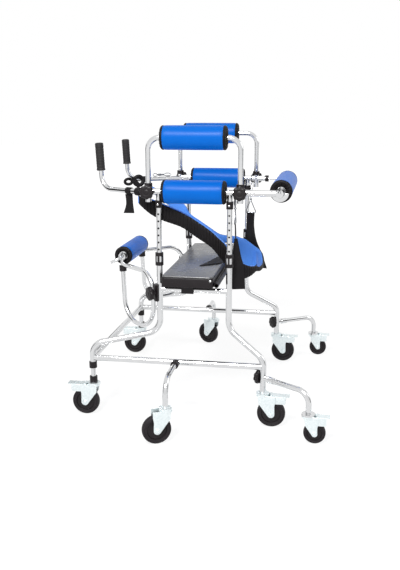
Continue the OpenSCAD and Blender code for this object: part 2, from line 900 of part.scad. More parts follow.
module arm_fittings() {
    cap_z = arm_z - cap_top_drop - cap_h;
    color(black) {
        both_sides() {
            for (x = [-post_x, post_x]) {
                translate([x, -post_y, cap_z])
                    linear_extrude(cap_h)
                        ring(cap_d, slim_d);
                difference() {
                    bar([x, -post_y, cap_z + cap_h / 2],
                        [x, -post_y - cap_d / 2 - cap_bolt_h, cap_z + cap_h / 2], cap_bolt_d);
                    translate([x, -post_y, cap_z])
                        cylinder(d = cap_d, h = cap_h);
                }
            }
            for (x = [-hoop_x, hoop_x])
                translate([x, -post_y, arm_z + sleeve_high - sleeve_ring_over])
                    difference() {
                        cylinder(d = sleeve_ring_d, h = sleeve_ring_h);
                        translate([0, 0, -overrun])
                            cylinder(d = tube_d, h = sleeve_ring_over + overrun);
                        cylinder(d = slim_d + 2 * face_gap, h = sleeve_ring_h + overrun);
                    }
        }
        difference() {
            bar([far_socket_end - bush_l / 2, post_y, arm_z], [far_socket_end + bush_l / 2, post_y, arm_z],
                bush_d);
            bar([far_socket_end - bush_l, post_y, arm_z], [far_socket_end, post_y, arm_z], tube_d);
            bar([far_socket_end - bush_l, post_y, arm_z], [far_socket_end + bush_l, post_y, arm_z],
                rod_d + 2 * run_fit);
        }
    }
}

module arm_pads() {
    color(blue)
        both_sides()
            translate([0, -post_y, arm_z])
                rotate([0, 90, 0])
                    roller_pad(arm_pad_d, arm_pad_l, tube_d);
}

// Underarm hoops

hoop_path = [
    [-hoop_x, -post_y, arm_z - sleeve_low],
    [-hoop_x, -post_y, underarm_z],
    [hoop_x, -post_y, underarm_z],
    [hoop_x, -post_y, arm_z - sleeve_low],
];
hoop_bends = [hoop_bend_r, hoop_bend_r];

module hoop(side) {
    color(chrome)
        on_side(side)
            bent_tube(hoop_path, hoop_bends, slim_d, slim_bore);
}

module underarm_pad(side, shift) {
    color(blue)
        on_side(side)
            difference() {
                translate([-shift, -post_y, underarm_z])
                    rotate([0, 90, 0])
                        roller_pad(underarm_pad_d, underarm_pad_l, 0);
                bent_tube(hoop_path, hoop_bends, slim_d, 0);
            }
}

module left_hoop() { hoop(-1); }
module right_hoop() { hoop(1); }
module left_underarm_pad() { underarm_pad(-1, 0); }
module right_underarm_pad() { underarm_pad(1, right_pad_shift); }

// Handles

handle_corner = handle_root + [-handle_reach, handle_toe, 0];
handle_top = [handle_corner[0] - handle_lean, handle_corner[1], grip_z + grip_l];
grip_dir = unit(handle_top - handle_corner);
grip_low = handle_top - grip_dir * grip_l;
grip_cap_t = 4;

module handle_bar(side) {
    color(chrome)
        on_side(side)
            bent_tube([handle_root + handle_dir * bar_start, handle_corner,
                       handle_top - grip_dir * grip_cap_t],
                      [handle_bend_r], slim_d, slim_bore);
}

module grip(side) {
    color(black)
        on_side(side)
            along(grip_low, grip_dir)
                difference() {
                    cylinder(d = grip_d, h = grip_l);
                    translate([0, 0, -overrun])
                        cylinder(d = slim_d, h = grip_l - grip_cap_t + overrun);
                }
}

module left_handle_bar() { handle_bar(-1); }
module right_handle_bar() { handle_bar(1); }
module left_grip() { grip(-1); }
module right_grip() { grip(1); }

// Back gate

module end_discs(half) {
    for (s = [-1, 1])
        translate([0, 0, s * (half - pad_dish + disc_t / 2)])
            cylinder(d = disc_d, h = disc_t, center = true);
}

module back_rod() {
    color(chrome) {
        bent_tube([[hoop_x + gate_rod_start, post_y, arm_z], [gate_x, post_y, arm_z],
                   [gate_x, -post_y - hook_w / 2 - rod_over, arm_z]], [gate_bend_r], rod_d, 0);
        translate([gate_x, 0, arm_z])
            rotate([90, 0, 0])
                end_discs(back_pad_l / 2);
    }
}

module back_pad() {
    color(blue)
        translate([gate_x, 0, arm_z])
            rotate([90, 0, 0])
                roller_pad(back_pad_d, back_pad_l, rod_d);
}

// Knee support

knee_x = -post_x - knee_forward;
loop_root = [-post_x - loop_root_forward, -post_y + loop_root_in];
loop_tip = [knee_x, -knee_hook_y];
loop_span = norm(loop_tip - loop_root);
function loop_at(s, z) = let (p = loop_root + (loop_tip - loop_root) * (s / loop_span)) [p[0], p[1], z];
loop_foot_s = loop_span - loop_lean;
function loop_leg(z) = loop_at(loop_foot_s + loop_lean * (z - loop_bottom_z) / (knee_z - loop_bottom_z), z);
loop_path = [
    loop_leg(loop_top_z) - unit(loop_at(loop_span, 0) - loop_at(0, 0)) * (loop_d / 2 - tube_wall / 2),
    loop_at(0, loop_top_z),
    loop_at(0, loop_bottom_z),
    loop_at(loop_foot_s, loop_bottom_z),
    loop_leg(loop_ring_z),
];
loop_bends = [loop_top_bend_r, loop_low_bend_r, loop_low_bend_r];

module knee_loop(bore) {
    bent_tube(loop_path, loop_bends, loop_d, bore);
    bar(loop_leg(loop_ring_z - loop_ring_h / 2), loop_leg(knee_z - rod_d), loop_d - tube_wall);
    difference() {
        bar([knee_x, -knee_hook_y - knee_hook_w / 2, knee_z],
            [knee_x, -knee_hook_y + knee_hook_w / 2, knee_z], knee_hook_d);
        bar([knee_x, -knee_hook_y - knee_hook_w, knee_z], [knee_x, -knee_hook_y + knee_hook_w, knee_z],
            rod_d + 2 * face_gap);
        translate([knee_x - rod_d / 2 - face_gap, -knee_hook_y - knee_hook_w, knee_z])
            cube([rod_d + 2 * face_gap, 2 * knee_hook_w, knee_hook_d]);
    }
}

// Saddle on the front of a post, with a boss for the knob
module knee_clamp() {
    difference() {
        union() {
            translate([-post_x, -post_y, clamp_z - clamp_h / 2])
                cylinder(r = clamp_r, h = clamp_h);
            bar([-post_x, -post_y, clamp_z], [-post_x, -post_y, clamp_z] + clamp_dir * clamp_boss_l,
                knob_boss_d);
        }
        translate([-post_x, -post_y, clamp_z - clamp_h / 2 - overrun])
            cylinder(d = tube_d + 4 * slide_fit, h = clamp_h + 2 * overrun);
        translate([-post_x - clamp_open, -post_y - 2 * clamp_r, clamp_z - clamp_h])
            cube([2 * clamp_r, 4 * clamp_r, 2 * clamp_h]);
        bar([-post_x, -post_y, clamp_z], [-post_x, -post_y, clamp_z] + clamp_dir * 2 * clamp_boss_l,
            stud_d + 2 * run_fit);
        bent_tube(loop_path, loop_bends, loop_d, 0);
    }
}

module knee_loops() {
    color(chrome)
        both_sides()
            knee_loop(loop_bore);
}

module knee_fittings() {
    color(black)
        both_sides() {
            knee_clamp();
            difference() {
                bar(loop_leg(loop_ring_z - loop_ring_h / 2), loop_leg(loop_ring_z + loop_ring_h / 2),
                    loop_ring_d);
                knee_loop(0);
            }
        }
}

module knee_rod() {
    color(chrome)
        translate([knee_x, 0, knee_z])
            rotate([90, 0, 0]) {
                cylinder(d = rod_d, h = 2 * knee_hook_y + knee_hook_w + rod_over, center = true);
                end_discs(knee_half);
            }
}

module knee_pad() {
    color(blue)
        translate([knee_x, 0, knee_z])
            rotate([90, 0, 0])
                roller_pad(knee_pad_d, knee_pad_l, rod_d);
}

// Tail arms

module tail_arm(side) {
    root = [rear_leg_x, -leg_y, tail_z];
    corner = [tail_x, -tail_y, tail_z];
    start = root + tail_dir * (tail_boss_l + face_gap);
    color(chrome)
        on_side(side)
            difference() {
                union() {
                    bent_tube([start, corner, [tail_x, -tail_y, tail_plate_z - tube_wall]], [tail_bend_r],
                              side_tube_d, side_bore);
                    bar(start, start + tail_dir * tail_plug_l, tail_pad_d);
                    translate([tail_x, -tail_y, tail_plate_z])
                        caster_head();
                }
                bar(root, start + tail_dir * (tail_plug_l + overrun), stud_d + 2 * run_fit);
            }
}

module left_tail_arm() { tail_arm(-1); }
module right_tail_arm() { tail_arm(1); }

// Seat

// Channel under the seat that sits over a seat bar, open below
module seat_clip() {
    slot_w = side_tube_d + 2 * face_gap;
    clip_x = seat_front_x + seat_depth * clip_place_share - clip_l / 2;
    difference() {
        translate([clip_x, -post_y - clip_w / 2, seat_bar_z - clip_drop])
            cube([clip_l, clip_w, seat_rise + clip_drop + overrun]);
        bar([clip_x - overrun, -post_y, seat_bar_z], [clip_x + clip_l + overrun, -post_y, seat_bar_z],
            slot_w);
        translate([clip_x - overrun, -post_y - slot_w / 2, seat_bar_z - clip_drop - overrun])
            cube([clip_l + 2 * overrun, slot_w, clip_drop + overrun]);
    }
}

module seat_board() {
    y_l = seat_far_y - seat_near_y;
    color(black) {
        translate([seat_front_x, seat_near_y, seat_under_z])
            rounded_plate(seat_depth, y_l, seat_shell_h, seat_corner_r);
        both_sides()
            seat_clip();
    }
    color(grey)
        translate([seat_front_x + seat_top_inset, seat_near_y + seat_top_inset,
                   seat_under_z + seat_shell_h])
            rounded_plate(seat_depth - 2 * seat_top_inset, y_l - 2 * seat_top_inset, seat_top_h,
                          seat_corner_r - seat_top_inset);
}

module seat_frame() {
    tube_x = seat_rear_x + seat_tube_bracket_t + seat_tube_d / 2;
    tube_z = seat_under_z + seat_tube_d / 2;
    tube_bore_d = seat_tube_d - 2 * tube_wall;
    color(chrome) {
        tube([tube_x, seat_near_y + seat_tube_inset, tube_z],
             [tube_x, seat_far_y - seat_tube_inset, tube_z], seat_tube_d, tube_bore_d);
        both_sides()
            difference() {
                translate([seat_rear_x, seat_near_y + 2 * seat_tube_inset, seat_under_z])
                    cube([seat_tube_bracket_t + seat_tube_d / 2, seat_tube_bracket_w, seat_tube_d]);
                bar([tube_x, seat_near_y, tube_z], [tube_x, seat_near_y / 2, tube_z], tube_bore_d);
            }
    }
}

// Sling. Stations run from the left front tip round the back to the right front tip, as shares of
// half the post span, half the frame width and the height from the base line to the arms (top, bottom).

band_shares = [
    [-1.64, -0.915, 0.9405, 0.85], [-1.32, -0.89, 0.91, 0.73], [-0.94, -0.88, 0.85, 0.65],
    [-0.4, -0.88, 0.76, 0.575], [0, -0.87, 0.67, 0.465], [0.42, -0.86, 0.55, 0.35],
    [0.65, -0.85, 0.464, 0.24], [0.85, -0.84, 0.384, 0.13], [1.04, -0.83, 0.26, -0.02],
    [1.2, -0.81, 0.185, -0.05], [1.45, -0.68, 0.105, -0.03], [1.58, -0.5, 0.07, 0],
    [1.62, -0.2, 0, -0.06], [1.62, 0.34, -0.05, -0.115], [1.5, 0.68, 0.04, -0.15],
    [1.26, 0.74, 0.116, -0.218], [1.02, 0.76, 0.182, -0.2], [0.85, 0.78, 0.2, -0.03],
    [0.7, 0.8, 0.215, 0.08], [0.55, 0.81, 0.217, 0.116], [0.14, 0.81, 0.238, 0.12],
    [-0.2, 0.81, 0.325, 0.17], [-0.54, 0.81, 0.42, 0.25], [-0.88, 0.8, 0.52, 0.34],
    [-1.12, 0.8, 0.66, 0.46], [-1.84, 0.78, 0.82, 0.7], [-2.4, 0.735, 0.9455, 0.88],
];
band_steps = 3;
band_sides = 14;
sling_base_z = arm_z - sling_drop;
gathers_a_station = 1.5;
crown_power = 0.6;
tip_share = 0.3;

function bend(a, b, c, d, t) =
    ((2 * b) + (c - a) * t + (2 * a - 5 * b + 4 * c - d) * t * t + (3 * b - a - 3 * c + d) * t * t * t) / 2;
function band_station(i) = band_shares[max(0, min(len(band_shares) - 1, i))];
function band_at(u) = let (i = min(floor(u), len(band_shares) - 2), t = u - i)
    bend(band_station(i - 1), band_station(i), band_station(i + 1), band_station(i + 2), t);
function band_mid(s) = [s[0] * post_x, s[1] * post_y, sling_base_z + (s[2] + s[3]) / 2 * sling_drop];
function curved(v) = sign(v) * pow(abs(v), crown_power);
function band_ring(u) =
    let (
        s = band_at(u),
        last = len(band_shares) - 1,
        a = band_mid(band_at(max(0, u - 1 / band_steps))),
        b = band_mid(band_at(min(last, u + 1 / band_steps))),
        out = unit([b[1] - a[1], a[0] - b[0], 0]),
        tip = min(1, tip_share + min(u, last - u)),
        half_h = (s[2] - s[3]) / 2 * sling_drop,
        gather = gather_depth * cos(u * gathers_a_station * 360)
    )
    [for (j = [0 : band_sides - 1]) let (q = j * 360 / band_sides, w = cos(q))
        band_mid(s) + out * (curved(w) * band_t / 2 * tip + (w > 0 ? gather * w : 0))
        + [0, 0, curved(sin(q)) * half_h]];

module sling_band() {
    color(blue)
        skin([for (k = [0 : band_steps * (len(band_shares) - 1)]) band_ring(k / band_steps)]);
}

// Straps: points as shares of the same three sizes, widths as shares of the strap's width

left_hanger_shares = [[1.14, -0.92, 0.64], [1.14, -0.91, 0.56], [1.15, -0.9, 0.47]];
left_hanger_w_shares = [0.7, 0.7, 0.7];
left_flare_shares = [
    [1.15, -0.89, 0.46], [1.176, -0.8728, 0.238], [1.216, -0.8697, 0.106], [1.24, -0.8669, -0.149],
];
left_flare_w_shares = [0.3, 0.9, 1.2, 1.3];
left_flare_turn = 15.9;
right_hanger_shares = [
    [1.14, 0.94, 0.53], [1.136, 0.92, 0.358], [1.2, 0.847, 0.169], [1.304, 0.7961, -0.013],
    [1.424, 0.7752, -0.212],
];
right_hanger_w_shares = [1, 1, 1.28, 2.06, 2.5];
right_hanger_turn = -21;
loose_end_shares = [[-1.95, -0.845, 0.9452], [-1.94, -0.835, 0.83], [-1.97, -0.83, 0.72]];
loose_end_w_shares = [0.75, 0.72, 1.1];
hook_x = (post_x + slim_d / 2 + hoop_x - tube_d / 2) / 2;
hook_y = post_y - slim_d;
hook_wire = 4;
hook_ring_r = tube_d / 2 + hook_wire / 2 + face_gap;
hook_stem_d = 8;
hook_eye_h = 50;
hook_eye_half = strap_w / 2 + hook_wire;
left_hook_z_share = 0.64;
right_hook_z_share = 0.53;
tie_l = 24;
left_tie_start = 34;
loose_tie_start = 80;
right_tie_start = 148;

function strap_points(shares) = [for (p = shares)
    [p[0] * post_x, p[1] * post_y, sling_base_z + p[2] * sling_drop]];
function strap_widths(shares) = [for (w = shares) w * strap_w];
function turned_side(turn) = [cos(turn), sin(turn), 0];

// Webbing wound round a tube that runs along the handle
module tie(start, d) {
    along(handle_root + handle_dir * start, handle_dir)
        linear_extrude(tie_l)
            ring(d + 2 * face_gap + 2 * strap_t, d + 2 * face_gap);
}

// Snap hook on an arm tube, with its wire eye down to the strap's top
module strap_hook(end_z, turn) {
    translate([hook_x, -post_y, arm_z])
        rotate([0, 90, 0])
            rotate_extrude()
                translate([hook_ring_r, 0])
                    circle(d = hook_wire);
    bar([hook_x, -post_y, arm_z - hook_ring_r], [hook_x, -hook_y, end_z + hook_eye_h - hook_wire],
        hook_stem_d);
    translate([hook_x, -hook_y, end_z])
        rotate(turn)
            rotate([90, 0, 0])
                translate([0, 0, -hook_wire / 2])
                    linear_extrude(hook_wire)
                        difference() {
                            polygon([[-hook_eye_half, 0], [hook_eye_half, 0], [hook_wire, hook_eye_h],
                                     [-hook_wire, hook_eye_h]]);
                            polygon([[-hook_eye_half + 2 * hook_wire, hook_wire],
                                     [hook_eye_half - 2 * hook_wire, hook_wire],
                                     [0, hook_eye_h - 2 * hook_wire]]);
                        }
}

module sling_straps() {
    across = [0, 1, 0];
    lengthwise = [1, 0, 0];
    left_eye_z = sling_base_z + left_hook_z_share * sling_drop;
    right_eye_z = sling_base_z + right_hook_z_share * sling_drop;
    color(black) {
        strap(strap_points(left_hanger_shares), across, strap_widths(left_hanger_w_shares), strap_t);
        strap(strap_points(left_flare_shares), turned_side(left_flare_turn),
              strap_widths(left_flare_w_shares), strap_t);
        strap(strap_points(right_hanger_shares), turned_side(right_hanger_turn),
              strap_widths(right_hanger_w_shares), strap_t);
        strap(strap_points(loose_end_shares), lengthwise, strap_widths(loose_end_w_shares), strap_t);
        tie(left_tie_start, tube_d);
        tie(loose_tie_start, slim_d);
        mirror([0, 1, 0])
            tie(right_tie_start, slim_d);
    }
    color(chrome) {
        strap_hook(left_eye_z, 90);
        mirror([0, 1, 0])
            strap_hook(right_eye_z, 0);
    }
}

// Knobs

module star_knob(k) {
    color(black)
        along(k[1], k[2]) {
            cylinder(d = stud_d, h = k[3] + knob_rim_drop);
            translate([0, 0, k[3]]) {
                cylinder(d = knob_core_d, h = knob_h);
                for (i = [0 : knob_lobes - 1])
                    rotate(i * 360 / knob_lobes)
                        translate([(knob_d - knob_lobe_d) / 2, 0, 0])
                            cylinder(d = knob_lobe_d, h = knob_h - knob_rim_drop);
            }
        }
}

front_legs();
rear_legs();
base_rails();
side_outriggers();
frame_collars();
caster_heads();
inner_posts();
arm_tubes();
arm_fittings();
arm_pads();
sling_band();
sling_straps();
left_hoop();
right_hoop();
left_underarm_pad();
right_underarm_pad();
left_handle_bar();
right_handle_bar();
left_grip();
right_grip();
back_rod();
back_pad();
knee_loops();
knee_fittings();
knee_rod();
knee_pad();
left_tail_arm();
right_tail_arm();
seat_board();
seat_frame();
for (k = KNOBS)
    star_knob(k);
for (c = CASTERS)
    caster_fork(c);
for (c = CASTERS)
    caster_wheel(c);
for (c = BRAKED)
    caster_pedal(c);
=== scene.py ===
# %% [markdown]
# # A gait trainer, dressed over its solid frame
# The real object is a walking frame of bright bent tube on eight casters. Padded rollers hold the body
# under the arms, at the elbows, behind the back and at the knees, and a sling carries the weight. The
# packed model gives every tube, caster and joint in its true place. This lesson keeps those solids,
# gives them finishes, and makes again what a solid can't show: padding, gathered cloth, webbing,
# rubber.

# %% Load the frame
import json
import math

import bpy
import numpy as np
from mathutils import Matrix, Vector


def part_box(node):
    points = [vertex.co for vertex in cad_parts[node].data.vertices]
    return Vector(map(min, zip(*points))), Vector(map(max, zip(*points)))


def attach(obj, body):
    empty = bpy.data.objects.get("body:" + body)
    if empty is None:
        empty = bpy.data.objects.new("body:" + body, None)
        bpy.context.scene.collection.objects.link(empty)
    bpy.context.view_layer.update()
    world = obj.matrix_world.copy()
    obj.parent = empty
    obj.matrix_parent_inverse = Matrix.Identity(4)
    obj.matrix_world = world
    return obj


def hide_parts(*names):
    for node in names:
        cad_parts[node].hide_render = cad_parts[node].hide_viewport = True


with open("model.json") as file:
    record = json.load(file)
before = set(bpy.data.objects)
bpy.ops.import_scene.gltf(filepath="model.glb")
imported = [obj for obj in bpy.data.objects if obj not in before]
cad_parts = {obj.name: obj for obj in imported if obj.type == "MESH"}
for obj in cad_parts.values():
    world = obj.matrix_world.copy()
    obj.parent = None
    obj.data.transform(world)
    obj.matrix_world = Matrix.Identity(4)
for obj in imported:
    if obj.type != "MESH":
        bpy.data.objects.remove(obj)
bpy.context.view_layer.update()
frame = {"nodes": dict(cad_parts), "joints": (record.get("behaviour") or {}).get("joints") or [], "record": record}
MM = 0.001

# %% [markdown]
# ## Places from the frame
# The solids already stand in their true places, so places are read from them, in millimetres: a joint
# gives an axle's point and direction, and a solid's box gives its middle and size. Six driving sizes of
# the part are named here, because the sling, its straps and the handles hang from them.

# %% Places
POST_X = 125
POST_Y = 287
ARM_Z = 816
SLING_Z = 514
SLING_DROP = ARM_Z - SLING_Z
HOOP_AHEAD = 36
HANDLE_DROP = 4
joint_of = {row["child"]: row for row in frame["joints"]}


def axle(body):
    """The point in mm and the direction of the joint that carries a body."""
    row = joint_of[body]
    return np.array(row["pos_m"]) / MM, np.array(row["axis"], float)


def extent(node):
    """The middle and the size of a solid, in mm."""
    low, high = (np.array(corner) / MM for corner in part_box(node))
    return (low + high) / 2, high - low


def reach_of(node, at, axis):
    """How far a solid reaches from a point along a direction, in mm."""
    places = np.array([corner.co for corner in frame["nodes"][node].data.vertices]) / MM
    return float(((places - at) @ axis).max())


def handle_line(sign):
    """The root of a handle tube, in mm, and the direction in which it slides."""
    way = np.array(joint_of["right_handle" if sign > 0 else "left_handle"]["axis"], float)
    return np.array((-POST_X - HOOP_AHEAD, sign * POST_Y, ARM_Z - HANDLE_DROP)), way


print("joints:", len(joint_of), "right handle leaves from", handle_line(1)[0])

# %% [markdown]
# ## The viewpoint
# The photograph looks at the left side from a little above, turned towards the back. The camera could
# be moved by eye, but its place was worked out from the posts and casters, so it is written as numbers.

# %% Camera
EYE = (0.4405, -2.7337, 1.0831)
LOOK_DOWN = 0.2354
LOOK_ASIDE = 0.1697
SENSOR = 36
LENS = 45.42


def clear():
    bpy.ops.object.select_all(action="DESELECT")


def fresh(name):
    """The object that an operator has just added, under its name."""
    made = bpy.context.object
    made.name = name
    return made


clear()
bpy.ops.object.camera_add(location=EYE, rotation=(math.pi / 2 - LOOK_DOWN, 0, LOOK_ASIDE))
camera = fresh("photo_camera")
camera.data.sensor_width = SENSOR
camera.data.lens = LENS
bpy.context.scene.camera = camera
bpy.context.scene.view_settings.view_transform = "Standard"
print("camera at", [round(v, 3) for v in camera.location], "lens", camera.data.lens)

# %% [markdown]
# ## Sums on sockets
# A finish is a net of nodes. Placing each node by hand hides what the net works out, so a socket is
# wrapped in a small class: sums on it add Math nodes, and one method makes any other node.

# %% A socket that can be reckoned with
class Lead:
    """A wire from one socket of a finish."""

    def __init__(self, tree, socket=None):
        self.tree = tree
        self.socket = socket

    def node(self, kind, settings=None, sockets=None, out=0):
        made = self.tree.nodes.new("ShaderNode" + kind)
        for key, value in (settings or {}).items():
            setattr(made, key, value)
        for key, value in (sockets or {}).items():
            if isinstance(value, Lead):
                self.tree.links.new(value.socket, made.inputs[key])
            else:
                made.inputs[key].default_value = value
        return Lead(self.tree, made.outputs[out])

    def also(self, out):
        return Lead(self.tree, self.socket.node.outputs[out])

    def into(self, socket):
        self.tree.links.new(self.socket, socket)

    def sum_of(self, operation, first, second):
        return self.node("Math", {"operation": operation}, {0: first, 1: second})

    def __add__(self, other):
        return self.sum_of("ADD", self, other)

    def __radd__(self, other):
        return self.sum_of("ADD", other, self)

    def __mul__(self, other):
        return self.sum_of("MULTIPLY", self, other)


print("sums ready:", [n for n in vars(Lead) if n in ("__add__", "__radd__", "__mul__")])

# %% [markdown]
# ## A plain studio
# The photograph is a cut-out on white. The world is white where the camera, metal or glass looks at it,
# and dimmer as light, so that nothing burns out. The floor is pale, keeps the shadow, and fades to
# white far off.

# %% World and floor
AMBIENT = 0.42
FLOOR_SIZE = 40
FADE_FROM = 0.9
FADE_TO = 2.6
GLOW_SHARE = 0.78
GLOW = 1.12
world = bpy.data.worlds.new("studio")
bpy.context.scene.world = world
world.use_nodes = True
sky = world.node_tree.nodes["Background"]
sky.inputs["Color"].default_value = (1, 1, 1, 1)
ray = Lead(world.node_tree).node("LightPath", out="Is Camera Ray")
looks = ray.sum_of("MINIMUM", ray + ray.also("Is Glossy Ray") + ray.also("Is Transmission Ray"), 1)
(AMBIENT + looks * (1 - AMBIENT)).into(sky.inputs["Strength"])

clear()
bpy.ops.mesh.primitive_plane_add(size=FLOOR_SIZE, location=(0, 0, 0))
floor = fresh("floor")
paper = bpy.data.materials.new("pale_floor")
paper.use_nodes = True
paper_shader = paper.node_tree.nodes["Principled BSDF"]
paper_shader.inputs["Base Color"].default_value = (0.93, 0.93, 0.935, 1)
paper_shader.inputs["Roughness"].default_value = 0.9
paper_shader.inputs["Specular IOR Level"].default_value = 0.1
spot = Lead(paper.node_tree)
spot_at = spot.node("TexCoord", out="Object")
far_off = spot.node("VectorMath", {"operation": "LENGTH"}, {0: spot_at}, out="Value")
ease = {"interpolation_type": "SMOOTHSTEP"}
fade = spot.node("MapRange", ease, {0: far_off, 1: FADE_FROM, 2: FADE_TO}, out=0)
seen = spot.node("LightPath", out="Is Camera Ray")
looked_at = seen.sum_of("MINIMUM", seen + seen.also("Is Glossy Ray"), 1)
whiteness = seen.sum_of("MAXIMUM", fade, looked_at * GLOW_SHARE)
glow = spot.node("Emission", None, {"Color": (1, 1, 1, 1), "Strength": GLOW})
matt = Lead(spot.tree, paper_shader.outputs[0])
blended = spot.node("MixShader", None, {0: whiteness, 1: matt, 2: glow})
blended.into(paper.node_tree.nodes["Material Output"].inputs["Surface"])
floor.data.materials.append(paper)
print("floor and world set")

# %% [markdown]
# Two broad lamps stand where the highlights on the rollers say they stood: one high in front, one weak
# and lower on the right. A panel around the first one is seen only in reflections, and gives smooth
# vinyl and bright tube their soft bands.

# %% Lamps
AIM = (0, 0, 0.6)


def lamp(name, place, width, power):
    """A square lamp, its place and width in metres and its power in watts."""
    clear()
    bpy.ops.object.light_add(type="AREA", location=place)
    made = fresh(name)
    made.data.shape = "SQUARE"
    made.data.size = width
    made.data.energy = power
    made.rotation_euler = (Vector(AIM) - Vector(place)).to_track_quat("-Z", "Y").to_euler()
    return made


key = lamp("front_lamp", (-0.4, -3.0, 3.6), 0.8, 118)
side = lamp("right_lamp", (3.4, 0.6, 2.2), 1.8, 20)
sheen = lamp("sheen_panel", (-0.4, -3.2, 3.4), 1.5, 150)
sheen.visible_diffuse = False
print("lamps:", key.name, side.name, sheen.name)

# %% [markdown]
# Bright tube has no colour of its own: in an all-white room it turns white and loses its edges.
# Photographers stand dark cards beside metal, so that it mirrors a dark line along each side. These
# cards show in reflections only, and cast no shadow.

# %% Dark cards
card_paint = bpy.data.materials.new("dark_card")
card_paint.use_nodes = True
card_shader = card_paint.node_tree.nodes["Principled BSDF"].inputs
card_shader["Base Color"].default_value = (0.02, 0.02, 0.02, 1)
card_shader["Roughness"].default_value = 1
card_shader["Specular IOR Level"].default_value = 0


def card(name, low, high):
    """An upright card from its low corner to its high corner, in metres."""
    clear()
    bpy.ops.mesh.primitive_plane_add(size=1)
    made = fresh(name)
    places = [(*low[:2], low[2]), (*high[:2], low[2]), (*low[:2], high[2]), (*high[:2], high[2])]
    for corner, place in zip(made.data.vertices, places):
        corner.co = place
    made.data.materials.append(card_paint)
    for rays in ("camera", "diffuse", "transmission", "volume_scatter", "shadow"):
        setattr(made, "visible_" + rays, False)
    return made


cards = [
    card("left_card", (-1.9, -1.0, 0.02), (-2.0, -0.35, 1.5)),
    card("right_card", (2.2, -0.95, 0.02), (2.3, -0.25, 1.5)),
    card("left_back_card", (-1.5, 1.5, 0.02), (-1.1, 1.8, 1.3)),
    card("right_back_card", (1.7, 1.6, 0.02), (1.4, 1.9, 1.3)),
]
print("cards:", [c.name for c in cards])

# %% [markdown]
# ## Finishes of the metal parts
# The tubes are plated bright: nearly a mirror, with faint smears from handling. The casters are zinc, a
# bluer and duller metal whose crystals show as faint patches. Both are one metal shader with noise in
# its roughness.

# %% Bright tube and zinc
def finish(name, specular=0.5, metallic=0, sheen=0):
    """A new finish: the material, its shader's inputs, and the place on the piece."""
    made = bpy.data.materials.new(name)
    made.use_nodes = True
    shader = made.node_tree.nodes["Principled BSDF"].inputs
    shader["Specular IOR Level"].default_value = specular
    shader["Metallic"].default_value = metallic
    shader["Sheen Weight"].default_value = sheen
    return made, shader, Lead(made.node_tree).node("TexCoord", out="Object")


def noise(place, scale, detail=3):
    return place.node("TexNoise", None, {"Vector": place, "Scale": scale, "Detail": detail}, out=0)


def tint(shader, factor, low, high):
    shade = factor.node("Mix", {"data_type": "RGBA"}, {0: factor, 6: (*low, 1), 7: (*high, 1)}, out=2)
    shade.into(shader["Base Color"])


def bump(shader, height, depth, strength=0.5):
    relief = height.node("Bump", None, {"Strength": strength, "Distance": depth, "Height": height})
    relief.into(shader["Normal"])


bright, shader, place = finish("bright_tube", metallic=1)
smear = noise(place, 14)
tint(shader, smear, (0.60, 0.61, 0.62), (0.74, 0.74, 0.745))
(0.07 + noise(place, 60) * 0.12).into(shader["Roughness"])
bump(shader, noise(place, 400, 1), 0.00004)

zinc, shader, place = finish("zinc_plate", metallic=0.85)
crystal = place.node("TexVoronoi", None, {"Vector": place, "Scale": 230}, out="Color")
grain = place.node("SeparateColor", None, {0: crystal})
tint(shader, grain, (0.76, 0.835, 0.85), (0.87, 0.93, 0.94))
(0.26 + noise(place, 45) * 0.22).into(shader["Roughness"])
bump(shader, noise(place, 500, 2), 0.00006)
print("metal finishes:", bright.name, zinc.name)

# %% [markdown]
# Knobs, collars, caps and the seat's shell are moulded black plastic with a fine matt grain. Tyres are
# softer and duller, with a film of dust. The grips are foam rubber, slightly browner. Each is dark, so
# what tells them apart is roughness and grain size, not colour.

# %% Plastic, tyre and grip
black, shader, place = finish("moulded_black", specular=0.28)
stain = noise(place, 30)
tint(shader, stain, (0.0055, 0.0036, 0.0046), (0.0135, 0.0095, 0.0115))
(0.34 + noise(place, 120) * 0.18).into(shader["Roughness"])
bump(shader, noise(place, 1500, 2), 0.00012)

tyre, shader, place = finish("tyre_rubber", specular=0.3)
dust = noise(place, 26, 5)
tint(shader, dust * dust, (0.0055, 0.0036, 0.005), (0.024, 0.0175, 0.0225))
(0.46 + dust * 0.25).into(shader["Roughness"])
bump(shader, noise(place, 900, 3), 0.0002)

foam, shader, place = finish("grip_foam", specular=0.3)
cells = place.node("TexVoronoi", None, {"Vector": place, "Scale": 1100}, out="Distance")
tint(shader, noise(place, 55), (0.009, 0.008, 0.0085), (0.022, 0.020, 0.021))
(0.56 + cells * 0.2).into(shader["Roughness"])
bump(shader, cells, 0.0003, 0.7)
print("dark finishes:", black.name, tyre.name, foam.name)

# %% [markdown]
# ## Finishes of the covers
# The rollers are covered in blue vinyl cloth: even colour, a pebbled grain of about a millimetre, a
# soft shine. The sling is a paler woven blue inside. Weave is drawn as two crossed waves, which stay
# sharp at any size.

# %% Vinyl and sling cloth
def weave(place, scale):
    """Two crossed waves, between 0 and 1."""
    warp = place.node("TexWave", {"bands_direction": "DIAGONAL"}, {"Vector": place, "Scale": scale}, out=1)
    weft = place.node("TexWave", {"bands_direction": "Z"}, {"Vector": place, "Scale": scale}, out=1)
    return (warp + weft) * 0.5


vinyl, shader, place = finish("blue_vinyl", specular=0.085)
pebble = place.node("TexVoronoi", {"feature": "SMOOTH_F1"}, {"Vector": place, "Scale": 760}, out="Distance")
tint(shader, noise(place, 9), (0.0007, 0.122, 0.560), (0.0014, 0.150, 0.640))
(0.27 + noise(place, 70) * 0.10 + pebble * 0.08).into(shader["Roughness"])
bump(shader, pebble, 0.00025, 0.35)

